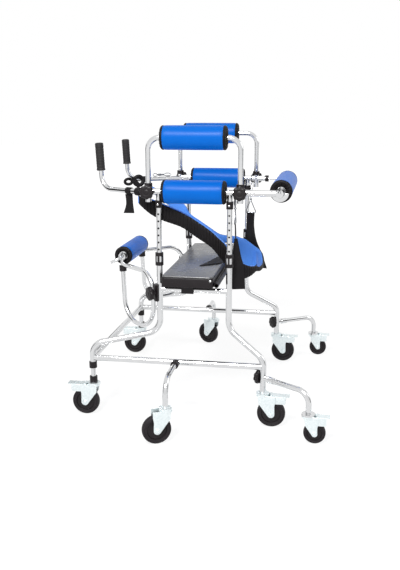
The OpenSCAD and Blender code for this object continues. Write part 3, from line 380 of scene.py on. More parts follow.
cloth, shader, place = finish("sling_lining", sheen=0.15)
thread = weave(place, 420)
shade = noise(place, 12) * 0.6 + thread * 0.4
tint(shader, shade, (0.052, 0.250, 0.860), (0.095, 0.330, 0.985))
(0.62 + thread * 0.2).into(shader["Roughness"])
bump(shader, thread, 0.0003, 0.4)
print("cover finishes:", vinyl.name, cloth.name)

# %% [markdown]
# The outside of the sling and the roller ends are black nylon, drawn up in gathers. The straps are
# ribbed webbing. Their ribs follow the strap, so that finish reads the piece's own UV map.

# %% Black nylon and webbing
nylon, shader, place = finish("black_nylon", specular=0.15)
thread = weave(place, 520)
shade = noise(place, 40) * 0.7 + thread * 0.3
tint(shader, shade, (0.003, 0.0024, 0.0027), (0.011, 0.009, 0.0105))
(0.44 + thread * 0.2).into(shader["Roughness"])
bump(shader, thread, 0.0003, 0.4)

webbing, shader, place = finish("ribbed_webbing", specular=0.15)
own = place.node("UVMap", {"uv_map": "UVMap"})
ribs = place.node("TexWave", {"bands_direction": "Y"}, {"Vector": own, "Scale": 130}, out=1)
edges = place.node("TexWave", {"bands_direction": "X"}, {"Vector": own, "Scale": 55}, out=1)
shade = ribs * 0.6 + noise(place, 60) * 0.4
tint(shader, shade, (0.003, 0.0025, 0.003), (0.013, 0.011, 0.0125))
(0.5 + ribs * 0.2).into(shader["Roughness"])
bump(shader, ribs * 0.7 + edges * 0.3, 0.0004, 0.6)
print("black cloths:", nylon.name, webbing.name)

# %% [markdown]
# The seat's top is a glossy dark moulding. Seen along its top it mirrors the white room and looks grey,
# which the shader gives by itself. Its gloss is uneven: faint scuffs make some patches rougher. The
# small hooks are of a darker steel than the tubes.

# %% Seat gloss and hook steel
gloss, shader, place = finish("seat_gloss")
scuff = noise(place, 35, 6)
tint(shader, scuff, (0.100, 0.100, 0.104), (0.145, 0.145, 0.150))
(0.24 + scuff * scuff * 0.22).into(shader["Roughness"])
bump(shader, noise(place, 900, 2), 0.00005)

steel, shader, place = finish("hook_steel", metallic=1)
tint(shader, noise(place, 40), (0.15, 0.155, 0.165), (0.30, 0.31, 0.325))
(0.14 + noise(place, 90) * 0.14).into(shader["Roughness"])
print("seat and hook finishes:", gloss.name, steel.name)

# %% [markdown]
# ## Finishes on the solids that stay
# A solid whose shape is right only needs its finish. The record names a material slot for each solid,
# so one table from slot to finish dresses all of them. The seat's frame alone gets the moulded black
# finish instead of its slot's.

# %% Dress the solids
by_slot = {
    "chrome_tube": bright, "zinc": zinc, "black_plastic": black, "tyre": tyre, "blue_vinyl": vinyl,
    "sling_fabric": nylon, "webbing": webbing, "seat_board": gloss, "grip_rubber": foam,
}
slot_of = {row["node"]: row["material_slot"] for row in frame["record"]["subparts"]}
for name, solid in frame["nodes"].items():
    solid.data.materials.clear()
    solid.data.materials.append(black if name == "seat_frame" else by_slot[slot_of[name]])
print("dressed", len(slot_of), "solids")

# %% [markdown]
# ## Ways of making
# A few helpers serve every piece. Turned pieces start as a filled circle that is extruded and resized
# ring by ring. Soft pieces are skins over rows of points. A finished piece gets the finish of its slot,
# or another look, and its body.

# %% Turned pieces
HANDS = (("left", -1), ("right", 1))
UP = (0, 0, 1)
WELD = 0.00001


def pick(obj):
    """Makes a piece the active one, and the only one selected."""
    clear()
    obj.select_set(True)
    bpy.context.view_layer.objects.active = obj


def open_edit():
    bpy.ops.object.mode_set(mode="EDIT")
    bpy.ops.mesh.select_all(action="SELECT")


def close_edit(weld=False):
    """Leaves edit mode with every face turned outwards, and double points welded where asked."""
    bpy.ops.mesh.select_all(action="SELECT")
    if weld:
        bpy.ops.mesh.remove_doubles(threshold=WELD)
    bpy.ops.mesh.normals_make_consistent(inside=False)
    bpy.ops.object.mode_set(mode="OBJECT")


def turned(name, sides, steps, lobes=0, depth=0.0):
    """A round piece up the Z axis; steps are (radius, height) in mm. Lobes wave its outline."""
    clear()
    r, z = steps[0]
    bpy.ops.mesh.primitive_circle_add(
        vertices=sides, radius=r * MM, fill_type="NGON", location=(0, 0, z * MM))
    made = fresh(name)
    for k, corner in enumerate(made.data.vertices):
        corner.co *= 1 + depth * math.cos(lobes * 2 * math.pi * k / sides)
    open_edit()
    for r_next, z_next in steps[1:]:
        bpy.ops.mesh.extrude_region_move(TRANSFORM_OT_translate={"value": (0, 0, (z_next - z) * MM)})
        k = r_next / r
        bpy.ops.transform.resize(value=(k, k, 1), center_override=(0, 0, z_next * MM))
        r, z = r_next, z_next
    close_edit()
    bpy.ops.object.transform_apply(location=True, rotation=True, scale=True)
    return made


def set_on(obj, at, axis):
    """Turns a piece from +Z to the axis, moves it to a point in mm, and puts that into its mesh."""
    obj.rotation_mode = "QUATERNION"
    obj.rotation_quaternion = Vector(UP).rotation_difference(Vector(axis))
    obj.location = Vector(at) * MM
    pick(obj)
    bpy.ops.object.transform_apply(location=True, rotation=True, scale=True)
    return obj


def set_flat(obj, at, along):
    """Stands a plate up at a point in mm: its x runs along a level direction, and its y up."""
    x = Vector(along).normalized()
    up = Vector(UP)
    turn = Matrix((x, up, x.cross(up))).transposed().to_4x4()
    obj.data.transform(Matrix.Translation(Vector(at) * MM) @ turn)
    return obj


def twin(obj, name):
    other = obj.copy()
    other.data = obj.data.copy()
    other.name = name
    bpy.context.collection.objects.link(other)
    return other


def dress(obj, slot, body, angle, stands_for=(), look=None):
    """Gives a piece its slot's finish, or another look, and its body and the solids it stands for."""
    obj.data.materials.clear()
    obj.data.materials.append(look or by_slot[slot])
    pick(obj)
    bpy.ops.object.shade_smooth_by_angle(angle=math.radians(angle))
    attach(obj, body)
    if stands_for:
        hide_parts(*stands_for)
    return obj


print("turning helpers ready")

# %% [markdown]
# A skin is a grid of points closed round each row. Its ends are either capped, or joined to each other
# where the piece is a ring. It also lays a UV map in metres, across and along, which webbing needs.

# %% Skins over rows of points
def skin(name, rows, looped=False):
    """A closed mesh over rows of points in mm, each row a ring."""
    grid = np.asarray(rows, float) * MM
    n, m = grid.shape[:2]
    faces = []
    for i in range(n if looped else n - 1):
        a, b = i * m, ((i + 1) % n) * m
        faces += [(a + j, a + (j + 1) % m, b + (j + 1) % m, b + j) for j in range(m)]
    if not looped:
        faces.append(tuple(range(m - 1, -1, -1)))
        faces.append(tuple((n - 1) * m + j for j in range(m)))
    mesh = bpy.data.meshes.new(name)
    mesh.from_pydata([tuple(p) for p in grid.reshape(-1, 3)], [], faces)
    made = bpy.data.objects.new(name, mesh)
    bpy.context.collection.objects.link(made)
    pick(made)
    open_edit()
    close_edit()
    along = np.concatenate([[0], np.cumsum(np.linalg.norm(np.diff(grid.mean(1), axis=0), axis=1))])
    across = np.concatenate([[0], np.cumsum(np.linalg.norm(np.diff(grid[0], axis=0), axis=1))])
    layer = mesh.uv_layers.new(name="UVMap")
    for loop in mesh.loops:
        layer.data[loop.index].uv = (across[loop.vertex_index % m], along[loop.vertex_index // m])
    return made


def frame_of(axis):
    """Two directions square to an axis."""
    axis = np.asarray(axis, float) / np.linalg.norm(axis)
    side = np.cross(axis, UP if abs(axis[2]) < 0.9 else (1, 0, 0))
    side = side / np.linalg.norm(side)
    return axis, side, np.cross(axis, side)


print("skins ready")

# %% [markdown]
# Flat pieces start as a circle whose points are moved onto an outline, which is then extruded and its
# edges bevelled. Ring pieces start from an outline that is spun. Wire is a curve with a round bevel,
# made a mesh.

# %% Plates, spun rings and wire
def outline(name, points, fill):
    clear()
    bpy.ops.mesh.primitive_circle_add(vertices=len(points), radius=0.01, fill_type=fill)
    made = fresh(name)
    for corner, place in zip(made.data.vertices, points):
        corner.co = Vector(place) * MM
    return made


def plate(name, points, low, high, soft=0.0):
    """A flat piece: an outline of (x, y) in mm, raised from low to high, its edges softened."""
    made = outline(name, [(x, y, low) for x, y in points], "NGON")
    open_edit()
    bpy.ops.mesh.extrude_region_move(TRANSFORM_OT_translate={"value": (0, 0, (high - low) * MM)})
    close_edit()
    if soft:
        rim = made.modifiers.new("soft_edge", "BEVEL")
        rim.width = soft * MM
        rim.segments = 3
        rim.limit_method = "ANGLE"
        rim.angle_limit = math.radians(40)
        bpy.ops.object.modifier_apply(modifier=rim.name)
    return made


def spun(name, profile, sides=72):
    """A ring: a closed outline of (radius, height) in mm, spun round the Z axis."""
    made = outline(name, [(r, 0, z) for r, z in profile], "NOTHING")
    open_edit()
    bpy.ops.mesh.spin(steps=sides, angle=2 * math.pi, center=(0, 0, 0), axis=(0, 0, 1))
    close_edit(True)
    return made


def smooth(points, u):
    """The place at station u on a smooth curve through points; u counts the points from 0."""
    ends = len(points) - 1
    i = min(int(u), ends - 1)
    t = u - i
    a, b, c, d = (points[max(0, min(ends, k))] for k in (i - 1, i, i + 1, i + 2))
    start = 2 * b + (c - a) * t + (2 * a - 5 * b + 4 * c - d) * t ** 2
    return (start + (3 * b - a - 3 * c + d) * t ** 3) / 2


def eased(points, count):
    """Evenly counted places along a smooth curve through points."""
    p = np.asarray(points, float)
    return np.array([smooth(p, u) for u in np.linspace(0, len(p) - 1, count)])


def wire(name, path, thick, closed=False):
    """Round wire along points in mm."""
    clear()
    bpy.ops.curve.primitive_nurbs_path_add(location=(0, 0, 0))
    made = fresh(name)
    made.data.splines.clear()
    line = made.data.splines.new("POLY")
    line.points.add(len(path) - 1)
    for point, place in zip(line.points, path):
        point.co = (*(Vector(place) * MM), 1)
    line.use_cyclic_u = closed
    made.data.bevel_depth = thick / 2 * MM
    made.data.bevel_resolution = 3
    made.data.use_fill_caps = True
    bpy.ops.object.convert(target="MESH")
    open_edit()
    close_edit(True)
    return made


print("plates, rings and wire ready")

# %% [markdown]
# ## The rollers
# Each roller is a foam sleeve in a tight vinyl cover, with black end cloth drawn up round the tube by a
# cord. A cylinder would look turned from metal, so the cover swells a little, waves slightly, and
# puckers at its seams. The end is a ring skin whose folds deepen towards the middle, where the cord
# pulls it.

# %% Roller covers and gathered ends
ROUND = 112
END_CLOTH = 9
PUCKERS = 26
FOLDS = 13


def roller(name, centre, axis, diameter, length, hole, body, stands_for, seed):
    way, side, up = frame_of(axis)
    centre = np.asarray(centre, float)
    half, r = length / 2, diameter / 2
    seam = half - END_CLOTH
    turns = np.linspace(0, 2 * math.pi, ROUND, endpoint=False)
    spread = np.outer(np.cos(turns), side) + np.outer(np.sin(turns), up)
    wave = np.cos(3 * turns + seed) * 0.35 + np.cos(7 * turns + 2.1 * seed) * 0.15
    pucker = np.cos(PUCKERS * turns + 1.7 * np.sin(5 * turns + seed)) * 0.55

    def ring(s, radius, lift=0.0):
        return centre + way * s + (np.asarray(radius) + lift)[:, None] * spread

    rows = [ring(-half + 14, np.full(ROUND, hole))]
    run = np.linspace(-half + 11, half - 11, 46)
    for s in (-seam, -half + 9.6, *run, half - 9.6, seam):
        edge = max(0.0, 1 - (seam - abs(s)) / 16)
        swell = -0.5 - 1.3 * edge ** 3 + 0.5 * math.cos(s / half * 1.2)
        drift = wave * (1 - edge) * math.cos(s / 60 + seed)
        rows.append(ring(s, r + swell + drift - abs(pucker) * edge ** 2))
    rows.append(ring(half - 14, np.full(ROUND, hole)))
    cover = skin(name + "_cover", rows)
    dress(cover, "blue_vinyl", body, 60, stands_for)
    for end, sign in (("front", -1), ("back", 1)):
        path = [(half - 12.5, r - 2.6), (half - 10.5, r - 1.1), (seam, r - 0.25), (half - 7, r - 0.1)]
        for q in np.linspace(0.35, 1.5, 7):
            path.append((seam + END_CLOTH * math.sin(q), r - END_CLOTH + END_CLOTH * math.cos(q) - 0.1))
        drop = np.linspace(0, 1, 9)[1:]
        path += [(half - 7 * d ** 1.2, r - END_CLOTH - (r - END_CLOTH - hole) * d) for d in drop]
        path += [(half - 12, hole + 0.6), (half - 15, hole + 3), (half - 15, r - 5)]
        folds = np.cos(FOLDS * turns + 1.4 * np.sin(3 * turns + seed)) + 0.5 * np.cos(29 * turns + seed)
        loops = []
        for k, (s, radius) in enumerate(path):
            inward = min(1.0, max(0.0, (k - 5) / 9)) if k < len(path) - 3 else 0.0
            depth = 2.4 * inward * (1 - np.abs(folds) ** 0.8)
            crease = 0.35 * np.abs(pucker) if 1 < k < 6 else 0.0
            one = ring(0, np.full(ROUND, radius), -crease - 0.3 * depth) + np.outer(sign * (s - depth), way)
            loops.append(one)
        cap = skin(f"{name}_{end}_gather", loops, looped=True)
        dress(cap, "sling_fabric", body, 60)
    return cover


def roller_place(node, along, side=0):
    """Middle, axis, diameter and length of a pad; side picks one of a pair."""
    middle, size = extent(node)
    diameter = size[2]
    shift = np.array((0, side * (size[1] - diameter) / 2, 0))
    return middle + shift, np.eye(3)[along], diameter, size[along]


rollers = [
    ("left_arm_roller", "arm_pads", 0, -1, 12, "upper_frame", 0.4),
    ("right_arm_roller", "arm_pads", 0, 1, 12, "upper_frame", 1.9),
    ("left_underarm_roller", "left_underarm_pad", 0, 0, 12, "left_underarm", 2.7),
    ("right_underarm_roller", "right_underarm_pad", 0, 0, 12, "right_underarm", 3.3),
    ("back_roller", "back_pad", 1, 0, 14, "back_gate", 4.1),
    ("knee_roller_pad", "knee_pad", 1, 0, 14, "knee_roller", 5.2),
]
for name, node, along, side, hole, body, seed in rollers:
    stands_for = (node,) if side < 1 else ()
    made = roller(name, *roller_place(node, along, side), hole, body, stands_for, seed)
    print(made.name, [round(v, 3) for v in made.dimensions], "m, points", len(made.data.vertices))

# %% [markdown]
# ## The sling
# The sling is one padded band: tied to the left handle, under the left arm roller, round behind the
# seat and up to the right handle. Its lining is smooth and its outside is black cloth drawn up in
# gathers. The band follows the same stations as the solid, so it stays where the solid holds its space.

# %% The band's course
stations = np.array([
    (-1.64, -0.915, 0.9405, 0.85), (-1.32, -0.89, 0.91, 0.73), (-0.94, -0.88, 0.85, 0.65),
    (-0.4, -0.88, 0.76, 0.575), (0, -0.87, 0.67, 0.465), (0.42, -0.86, 0.55, 0.35),
    (0.65, -0.85, 0.464, 0.24), (0.85, -0.84, 0.384, 0.13), (1.04, -0.83, 0.26, -0.02),
    (1.2, -0.81, 0.185, -0.05), (1.45, -0.68, 0.105, -0.03), (1.58, -0.5, 0.07, 0),
    (1.62, -0.2, 0, -0.06), (1.62, 0.34, -0.05, -0.115), (1.5, 0.68, 0.04, -0.15),
    (1.26, 0.74, 0.116, -0.218), (1.02, 0.76, 0.182, -0.2), (0.85, 0.78, 0.2, -0.03),
    (0.7, 0.8, 0.215, 0.08), (0.55, 0.81, 0.217, 0.116), (0.14, 0.81, 0.238, 0.12),
    (-0.2, 0.81, 0.325, 0.17), (-0.54, 0.81, 0.42, 0.25), (-0.88, 0.8, 0.52, 0.34),
    (-1.12, 0.8, 0.66, 0.46), (-1.84, 0.78, 0.82, 0.7), (-2.4, 0.735, 0.9455, 0.88),
])
last = len(stations) - 1


def course(u):
    """Middle, outward direction, half height and tip share of the band at one station."""
    def middle(v):
        s = smooth(stations, v)
        return np.array((s[0] * POST_X, s[1] * POST_Y, SLING_Z + (s[2] + s[3]) / 2 * SLING_DROP))

    a, b = middle(max(0, u - 1 / 3)), middle(min(last, u + 1 / 3))
    out = np.array((b[1] - a[1], a[0] - b[0], 0))
    s = smooth(stations, u)
    tall = (s[2] - s[3]) / 2 * SLING_DROP
    return middle(u), out / np.linalg.norm(out), tall, min(1, 0.3 + min(u, last - u))


def crown(v):
    return np.sign(v) * np.abs(v) ** 0.6


steps = np.linspace(0, last, 12 * last + 1)
reach = [0.0]
for u0, u1 in zip(steps[:-1], steps[1:]):
    reach.append(reach[-1] + float(np.linalg.norm(course(u1)[0] - course(u0)[0])))
print("band length", round(reach[-1]), "mm")

# %% [markdown]
# The lining is a closed padded skin. The outside is a second thin skin that lies over the lining's
# outer face and wraps under its lower edge. Gathers are waves along the band, with a slow drift so that
# no two match.

# %% Lining and gathered outside
BAND_HALF = 12
GATHER_DEEP = 1.5
GATHER_PITCH = 2.15


def band_row(u, angles, lift, far):
    mid, out, tall, tip = course(u)
    w, h = np.cos(angles), np.sin(angles)
    off = crown(w) * BAND_HALF * tip + lift
    return mid + np.outer(off, out) + np.outer(crown(h) * (tall + far), UP)


around = np.linspace(0, 2 * math.pi, 40, endpoint=False)
lining_rows = []
for u, s in zip(steps, reach):
    soft = 0.5 * np.cos(s / 23 + 3 * np.sin(around)) * (np.cos(around) < 0.3)
    lining_rows.append(band_row(u, around, -0.4 + soft, -0.8))
lining = skin("sling_lining", lining_rows)
dress(lining, "sling_fabric", "upper_frame", 70, ("sling_band",), look=cloth)

arc = np.linspace(math.radians(-112), math.radians(58), 26)
fine = np.linspace(0.12, last - 0.12, 30 * last)
fine_reach = np.interp(fine, steps, reach)
outside_rows = []
for u, s in zip(fine, fine_reach):
    drift = 2.2 * math.sin(s / 61) + 1.1 * math.sin(s / 19)
    fold = np.cos(s / GATHER_PITCH + drift + 0.5 * np.sin(2.3 * arc + s / 40))
    middle = np.clip(np.cos(arc + 0.4), 0, 1) ** 0.5
    outer = band_row(u, arc, 0.6 + GATHER_DEEP * (fold + 1) * middle, 0.2)
    inner = band_row(u, arc, -0.6, -0.6)
    outside_rows.append(np.concatenate([outer, inner[::-1]]))
outside = skin("sling_outside", outside_rows)
dress(outside, "sling_fabric", "upper_frame", 50)
print("lining", len(lining.data.vertices), "points, outside", len(outside.data.vertices), "points")

# %% [markdown]
# ## Straps
# The sling hangs at the back from two webbing straps, and a short loose end hangs from the left handle.
# A strap is a thin skin along its own line, wide across and rounded at its edges. A remesh would erase
# it, so it is modelled directly, with a slight ripple as worn webbing has.

# %% Webbing straps
STRAP_HALF = 1.5
RIPPLE = 0.35


def from_shares(shares):
    """Places in mm from shares of the post spacing and of the sling's drop."""
    return [(x * POST_X, y * POST_Y, SLING_Z + z * SLING_DROP) for x, y, z in shares]


def level(degrees):
    """A level direction, turned from X."""
    return math.cos(math.radians(degrees)), math.sin(math.radians(degrees)), 0


def strap(name, points, widths, across, count=40, body="upper_frame"):
    line = eased([(*p, w) for p, w in zip(points, widths)], count)
    points, wide = line[:, :3], line[:, 3]
    across = np.asarray(across, float)
    rows = []
    for k in range(count):
        way = points[min(k + 1, count - 1)] - points[max(k - 1, 0)]
        flat = np.cross(way / np.linalg.norm(way), across)
        place = np.linspace(-1, 1, 13)
        thick = STRAP_HALF * np.sqrt(1 - 0.75 * np.abs(place) ** 8)
        ripple = RIPPLE * np.sin(place * 3 + k / 4)
        front = points[k] + np.outer(place * wide[k] / 2, across) + np.outer(ripple + thick, flat)
        rear = points[k] + np.outer(place * wide[k] / 2, across) + np.outer(ripple - thick, flat)
        rows.append(np.concatenate([front, rear[::-1]]))
    made = skin(name, rows)
    dress(made, "webbing", body, 50)
    return made


left_hanger = strap(
    "left_hanger_strap",
    from_shares([(1.14, -0.92, 0.64), (1.14, -0.91, 0.56), (1.15, -0.9, 0.47)]),
    (25, 25, 25), (0, 1, 0))
left_flare = strap(
    "left_flare_strap",
    from_shares([(1.15, -0.89, 0.46), (1.176, -0.8728, 0.238), (1.216, -0.8697, 0.106),
                 (1.24, -0.8669, -0.149)]),
    (11, 32, 43, 47), level(15.9))
right_hanger = strap(
    "right_hanger_strap",
    from_shares([(1.14, 0.94, 0.53), (1.136, 0.92, 0.358), (1.2, 0.847, 0.169), (1.304, 0.7961, -0.013),
                 (1.424, 0.7752, -0.212)]),
    (36, 36, 46, 74, 90), level(-21))
loose_end = strap(
    "loose_strap_end",
    from_shares([(-1.95, -0.845, 0.9452), (-1.94, -0.835, 0.83), (-1.97, -0.83, 0.72)]),
    (27, 26, 40), (1, 0, 0))
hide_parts("sling_straps")
print("straps:", [s.name for s in (left_hanger, left_flare, right_hanger, loose_end)])

# %% [markdown]
# At the front the straps are wound round the handle tubes. A wound turn is a ring of webbing whose
# surface rises at the lap, so it is a ring skin with a small step, not a plain cylinder.

# %% Webbing wound on the handles
LAP_TURN = 1.2
LAP_RISE = 1.4


def wound(name, side, start, tube_d):
    root, way = handle_line(side)
    way, across, up = frame_of(way)
    turns = np.linspace(0, 2 * math.pi, 64, endpoint=False)
    spread = np.outer(np.cos(turns), across) + np.outer(np.sin(turns), up)
    lap = np.where(turns < LAP_TURN, LAP_RISE * (1 - turns / LAP_TURN), 0)
    section = [(0.4, 0.3), (0.4, 2.6), (1.2, 3.2), (12, 3.3), (22.8, 3.2), (23.6, 2.6), (23.6, 0.3)]
    rows = []
    for s, t in section:
        rise = tube_d / 2 + t + lap * (t > 1)
        rows.append(root + way * (start + s) + rise[:, None] * spread)
    made = skin(name, rows, looped=True)
    dress(made, "webbing", "upper_frame", 40)
    return made


ties = [wound("left_tie", -1, 34, 22), wound("loose_tie", -1, 80, 19), wound("right_tie", 1, 148, 19)]
print("ties:", [t.name for t in ties])

# %% [markdown]
# ## Snap hooks
# At the back each strap hangs from a snap hook on the arm tube: a ring round the tube, a turned barrel
# with its swivel, and a three-cornered wire eye that holds the webbing. Ring and eye are wire, the
# barrel is turned.

# %% Rear snap hooks
HOOK_X = 142.2
HOOK_WIRE = 4
HOOK_RING = 13.3
EYE_INSET = 19
EYE_HEIGHT = 49


def snap_hook(hand, sign, eye_z, across):
    ring_at = np.array((HOOK_X, sign * POST_Y, ARM_Z))
    eye_at = np.array((HOOK_X, sign * (POST_Y - EYE_INSET), eye_z))
    top = ring_at - (0, 0, HOOK_RING)
    drop = eye_at + (0, 0, EYE_HEIGHT) - top
    turns = np.linspace(0, 2 * math.pi, 48, endpoint=False)
    ring_path = [ring_at + HOOK_RING * np.array((0, math.cos(q), math.sin(q))) for q in turns]
    ring = wire(hand + "_hook_ring", ring_path, HOOK_WIRE, True)
    span = float(np.linalg.norm(drop))
    barrel = turned(hand + "_hook_barrel", 24, [(r, share * span) for r, share in (
        (2.2, 0), (3.3, 0.02), (3.3, 0.3), (4.7, 0.34), (4.7, 0.62), (3.4, 0.66), (2.6, 0.86), (4.3, 0.89),
        (4.3, 0.97), (2.4, 1))])
    set_on(barrel, top, drop)
    half = [(0, 0), (18, 0), (21, 2), (20.5, 6), (12, 24), (3.4, 45), (0, EYE_HEIGHT)]
    corners = half + [(-u, z) for u, z in half[-2:0:-1]]
    eye_path = [eye_at + np.array(across) * u + (0, 0, z) for u, z in corners]
    eye = wire(hand + "_hook_eye", eye_path, HOOK_WIRE, True)
    for piece in (ring, barrel, eye):
        dress(piece, "chrome_tube", "upper_frame", 40, look=steel)
    return eye


hooks = [snap_hook("left", -1, 708.3, (0, 1, 0)), snap_hook("right", 1, 675.1, (1, 0, 0))]
print("hooks:", [h.name for h in hooks])

# %% [markdown]
# On the right handle the sling's end is made fast with spare webbing: two rolled loops, a strap across
# them, and a third hook that lies along the tube. Rolled webbing is round, so the loops are closed
# wires of cloth.

# %% Right handle wad and hook
WAD_OUT = 19
WAD_STRAP_OUT = 27.5
HOOK_OUT = 7
right_root, forward = handle_line(1)
towards = np.array((-forward[1], forward[0], 0))


def on_handle(along, up, out):
    """A place in mm along the right handle tube, above it and out from it."""
    return right_root + forward * along + towards * out + np.array((0, 0, up))


def rolled(name, along, up, wide, tall, thick):
    """A closed loop of rolled webbing beside the handle tube."""
    path = []
    for q in np.linspace(0, 2 * math.pi, 40, endpoint=False):
        out = WAD_OUT + 2 * math.sin(2 * q)
        path.append(on_handle(along + wide * math.cos(q), up + tall * math.sin(q), out))
    made = dress(wire(name, path, thick, True), "sling_fabric", "upper_frame", 60)
    return made


wad = rolled("right_wad", 188, -4, 19, 18, 16)
wad_fold = rolled("right_wad_fold", 231, -6, 15, 11, 12)
slant = (forward - (0, 0, 1)) * math.sqrt(0.5)
wad_line = [on_handle(a, z, WAD_STRAP_OUT) for a, z in ((221, 8), (203, -10), (185, -29))]
wad_strap = strap("right_wad_strap", wad_line, (18, 21, 18), slant, 30)
loop = [(44, 17), (52, 23), (66, 23.5), (76, 19), (76, 16), (66, 12), (52, 12.5)]
front_hook = wire("front_hook_loop", [on_handle(s, z, HOOK_OUT) for s, z in loop], 3.6, True)
barrel_steps = [(2, 0), (3.6, 1), (3.6, 12), (4.8, 14), (4.8, 24), (3, 26), (3, 30)]
front_barrel = turned("front_hook_barrel", 24, barrel_steps)
set_on(front_barrel, on_handle(75, 17.5, HOOK_OUT), forward)
loop = [(104, 17), (109, 23), (118, 23), (124, 17), (118, 12), (109, 12)]
front_ring = wire("front_hook_ring", [on_handle(s, z, HOOK_OUT) for s, z in loop], 3.4, True)
for piece in (front_hook, front_barrel, front_ring):
    dress(piece, "chrome_tube", "upper_frame", 40, look=steel)
print("right handle:", wad.name, wad_fold.name, wad_strap.name, front_hook.name)

# %% [markdown]
# ## Casters
# A caster wheel is a moulded hub with a solid tyre pressed on, held by a nut at each side of the fork.
# Tyre and hub are spun from their half sections, because a wheel is the same all round. The nut is a
# six-sided turning.

# %% Tyres, hubs and axle nuts
def wheel_parts(label, size, width, hub_half):
    """A tyre and its hub. The half sections are those of a wheel of 100 by 26 mm."""
    k, w = size / 100, width / 26
    side = [(33, 9), (34.5, 11.6), (37, 12.4), (41.5, 12.9), (42.3, 12.3), (43.1, 12.9),
            (45.5, 12.6), (48, 11), (49.4, 8), (50, 3.5)]
    section = [(r * k, -z * w) for r, z in side] + [(r * k, z * w) for r, z in reversed(side)]
    tyre_ring = spun(label + "_tyre", section)
    face = [(4.2, hub_half), (10.5 * k, hub_half), (12 * k, hub_half - 1), (12 * k, 11 * w),
            (14 * k, 9.6 * w), (24 * k, 8.2 * w), (31 * k, 9.6 * w), (33.05 * k, 8.8 * w)]
    hub = spun(label + "_hub", [(r, -z) for r, z in face] + [(r, z) for r, z in reversed(face)])
    return tyre_ring, hub


FORK_ROOM = 3
FORK_LEG = 3
WIDTH_OF = {"front": 26, "side": 26, "rear": 26, "tail": 22}
models = {}
nut_model = turned("model_nut", 6, [(8.3, 0), (8.3, 4.4), (7.4, 5.2), (4.4, 5.2), (4.2, 6.6), (2.6, 7.4)])
for label, width in WIDTH_OF.items():
    for hand, _ in HANDS:
        name = f"{hand}_{label}"
        at, axis = axle(name + "_roll")
        size = extent(name + "_wheel")[1][2]
        if width not in models:
            models[width] = wheel_parts(f"model_{width}", size, width, width / 2 + FORK_ROOM - 0.3)
        tyre_model, hub_model = models[width]
        rubber = set_on(twin(tyre_model, name + "_tyre"), at, axis)
        dress(rubber, "tyre", name + "_roll", 30, (name + "_wheel",))
        core = set_on(twin(hub_model, name + "_hub"), at, axis)
        dress(core, "black_plastic", name + "_roll", 30)
        for k, way in enumerate((-1, 1)):
            out = axis * way
            seat_at = at + out * (width / 2 + FORK_ROOM + FORK_LEG)
            nut = set_on(twin(nut_model, f"{name}_axle_nut_{k}"), seat_at, out)
            dress(nut, "zinc", name + "_swivel", 30)
for model in (*models[26], *models[22], nut_model):
    bpy.data.objects.remove(model)
print("casters dressed:", 2 * len(WIDTH_OF))

# %% [markdown]
# The pressed fork is wide at its crown and narrows to the axle, and covers most of the wheel's upper
# half. Under each brake pedal a skirt hangs at both sides of the tyre. Both are plates cut to an
# outline and stood upright: the cheeks ride with the fork, and the skirt with the pedal that carries
# it.

# %% Fork cheeks and brake skirts
MAIN_RADIUS = 50
PLATE_EDGE = 0.8
CHEEK_GAP = 0.1
SKIRT_OFF = 1.2
SKIRT_THICK = 1.2


def cheek_outline(trail, radius, top):
    """The side of a fork in mm: across from the kingpin, and up from the floor."""
    k = radius / MAIN_RADIUS
    bow = np.radians(np.linspace(-142, 5, 12))
    toe = [(trail + 13 * k * math.cos(q), radius + 13 * k * math.sin(q)) for q in bow]
    return [(-15 * k, top), (-14 * k, radius + 39 * k), *toe, (trail + 12 * k, radius + 30 * k),
            (trail + 15 * k, radius + 46 * k), (trail + 15 * k, top)]


def pair_of_plates(name, points, low, high, at, heading):
    """Two equal upright plates, one at each side of a wheel, as one piece."""
    near = plate(name, points, low, high, PLATE_EDGE)
    far = plate(name + "_far", points, -high, -low, PLATE_EDGE)
    pick(near)
    far.select_set(True)
    bpy.ops.object.join()
    return set_flat(near, at, heading)


for label, width in WIDTH_OF.items():
    for hand, _ in HANDS:
        name = f"{hand}_{label}"
        at, axis = axle(name + "_roll")
        king = axle(name + "_swivel")[0]
        heading = np.array((axis[1], -axis[0], 0))
        foot = np.array((king[0], king[1], 0))
        trail = float((at - king) @ heading)
        middle, size = extent(name + "_fork")
        inner = width / 2 + FORK_ROOM - CHEEK_GAP
        points = cheek_outline(trail, at[2], middle[2] + size[2] / 2 - 0.3)
        outer = inner + FORK_LEG + 4 * CHEEK_GAP
        cheeks = pair_of_plates(name + "_cheeks", points, inner, outer, foot, heading)
        dress(cheeks, "zinc", name + "_swivel", 30)
        if name + "_pedal" not in frame["nodes"]:
            continue
        k = at[2] / MAIN_RADIUS
        middle, size = extent(name + "_pedal")
        top = middle[2] + size[2] / 2 - 5
        points = [(trail - 3 * k, top), (trail - 3 * k, at[2] + 38 * k), (trail + 46 * k, at[2] + 38 * k),
                  (trail + 51 * k, at[2] + 42 * k), (trail + 51 * k, top)]
        low = width / 2 + SKIRT_OFF
        skirt = pair_of_plates(name + "_brake_skirt", points, low, low + SKIRT_THICK, foot, heading)
        dress(skirt, "zinc", name + "_brake", 30)
print("cheeks and skirts on", 2 * len(WIDTH_OF), "casters")

# %% [markdown]
# ## Star knobs
# Eight moulded knobs tighten the sliding tubes. A knob is a scalloped disc with rounded rims and a face
# with a raised ring and a domed middle. The scallops come from waving the first circle, and the
# extrusions carry them.

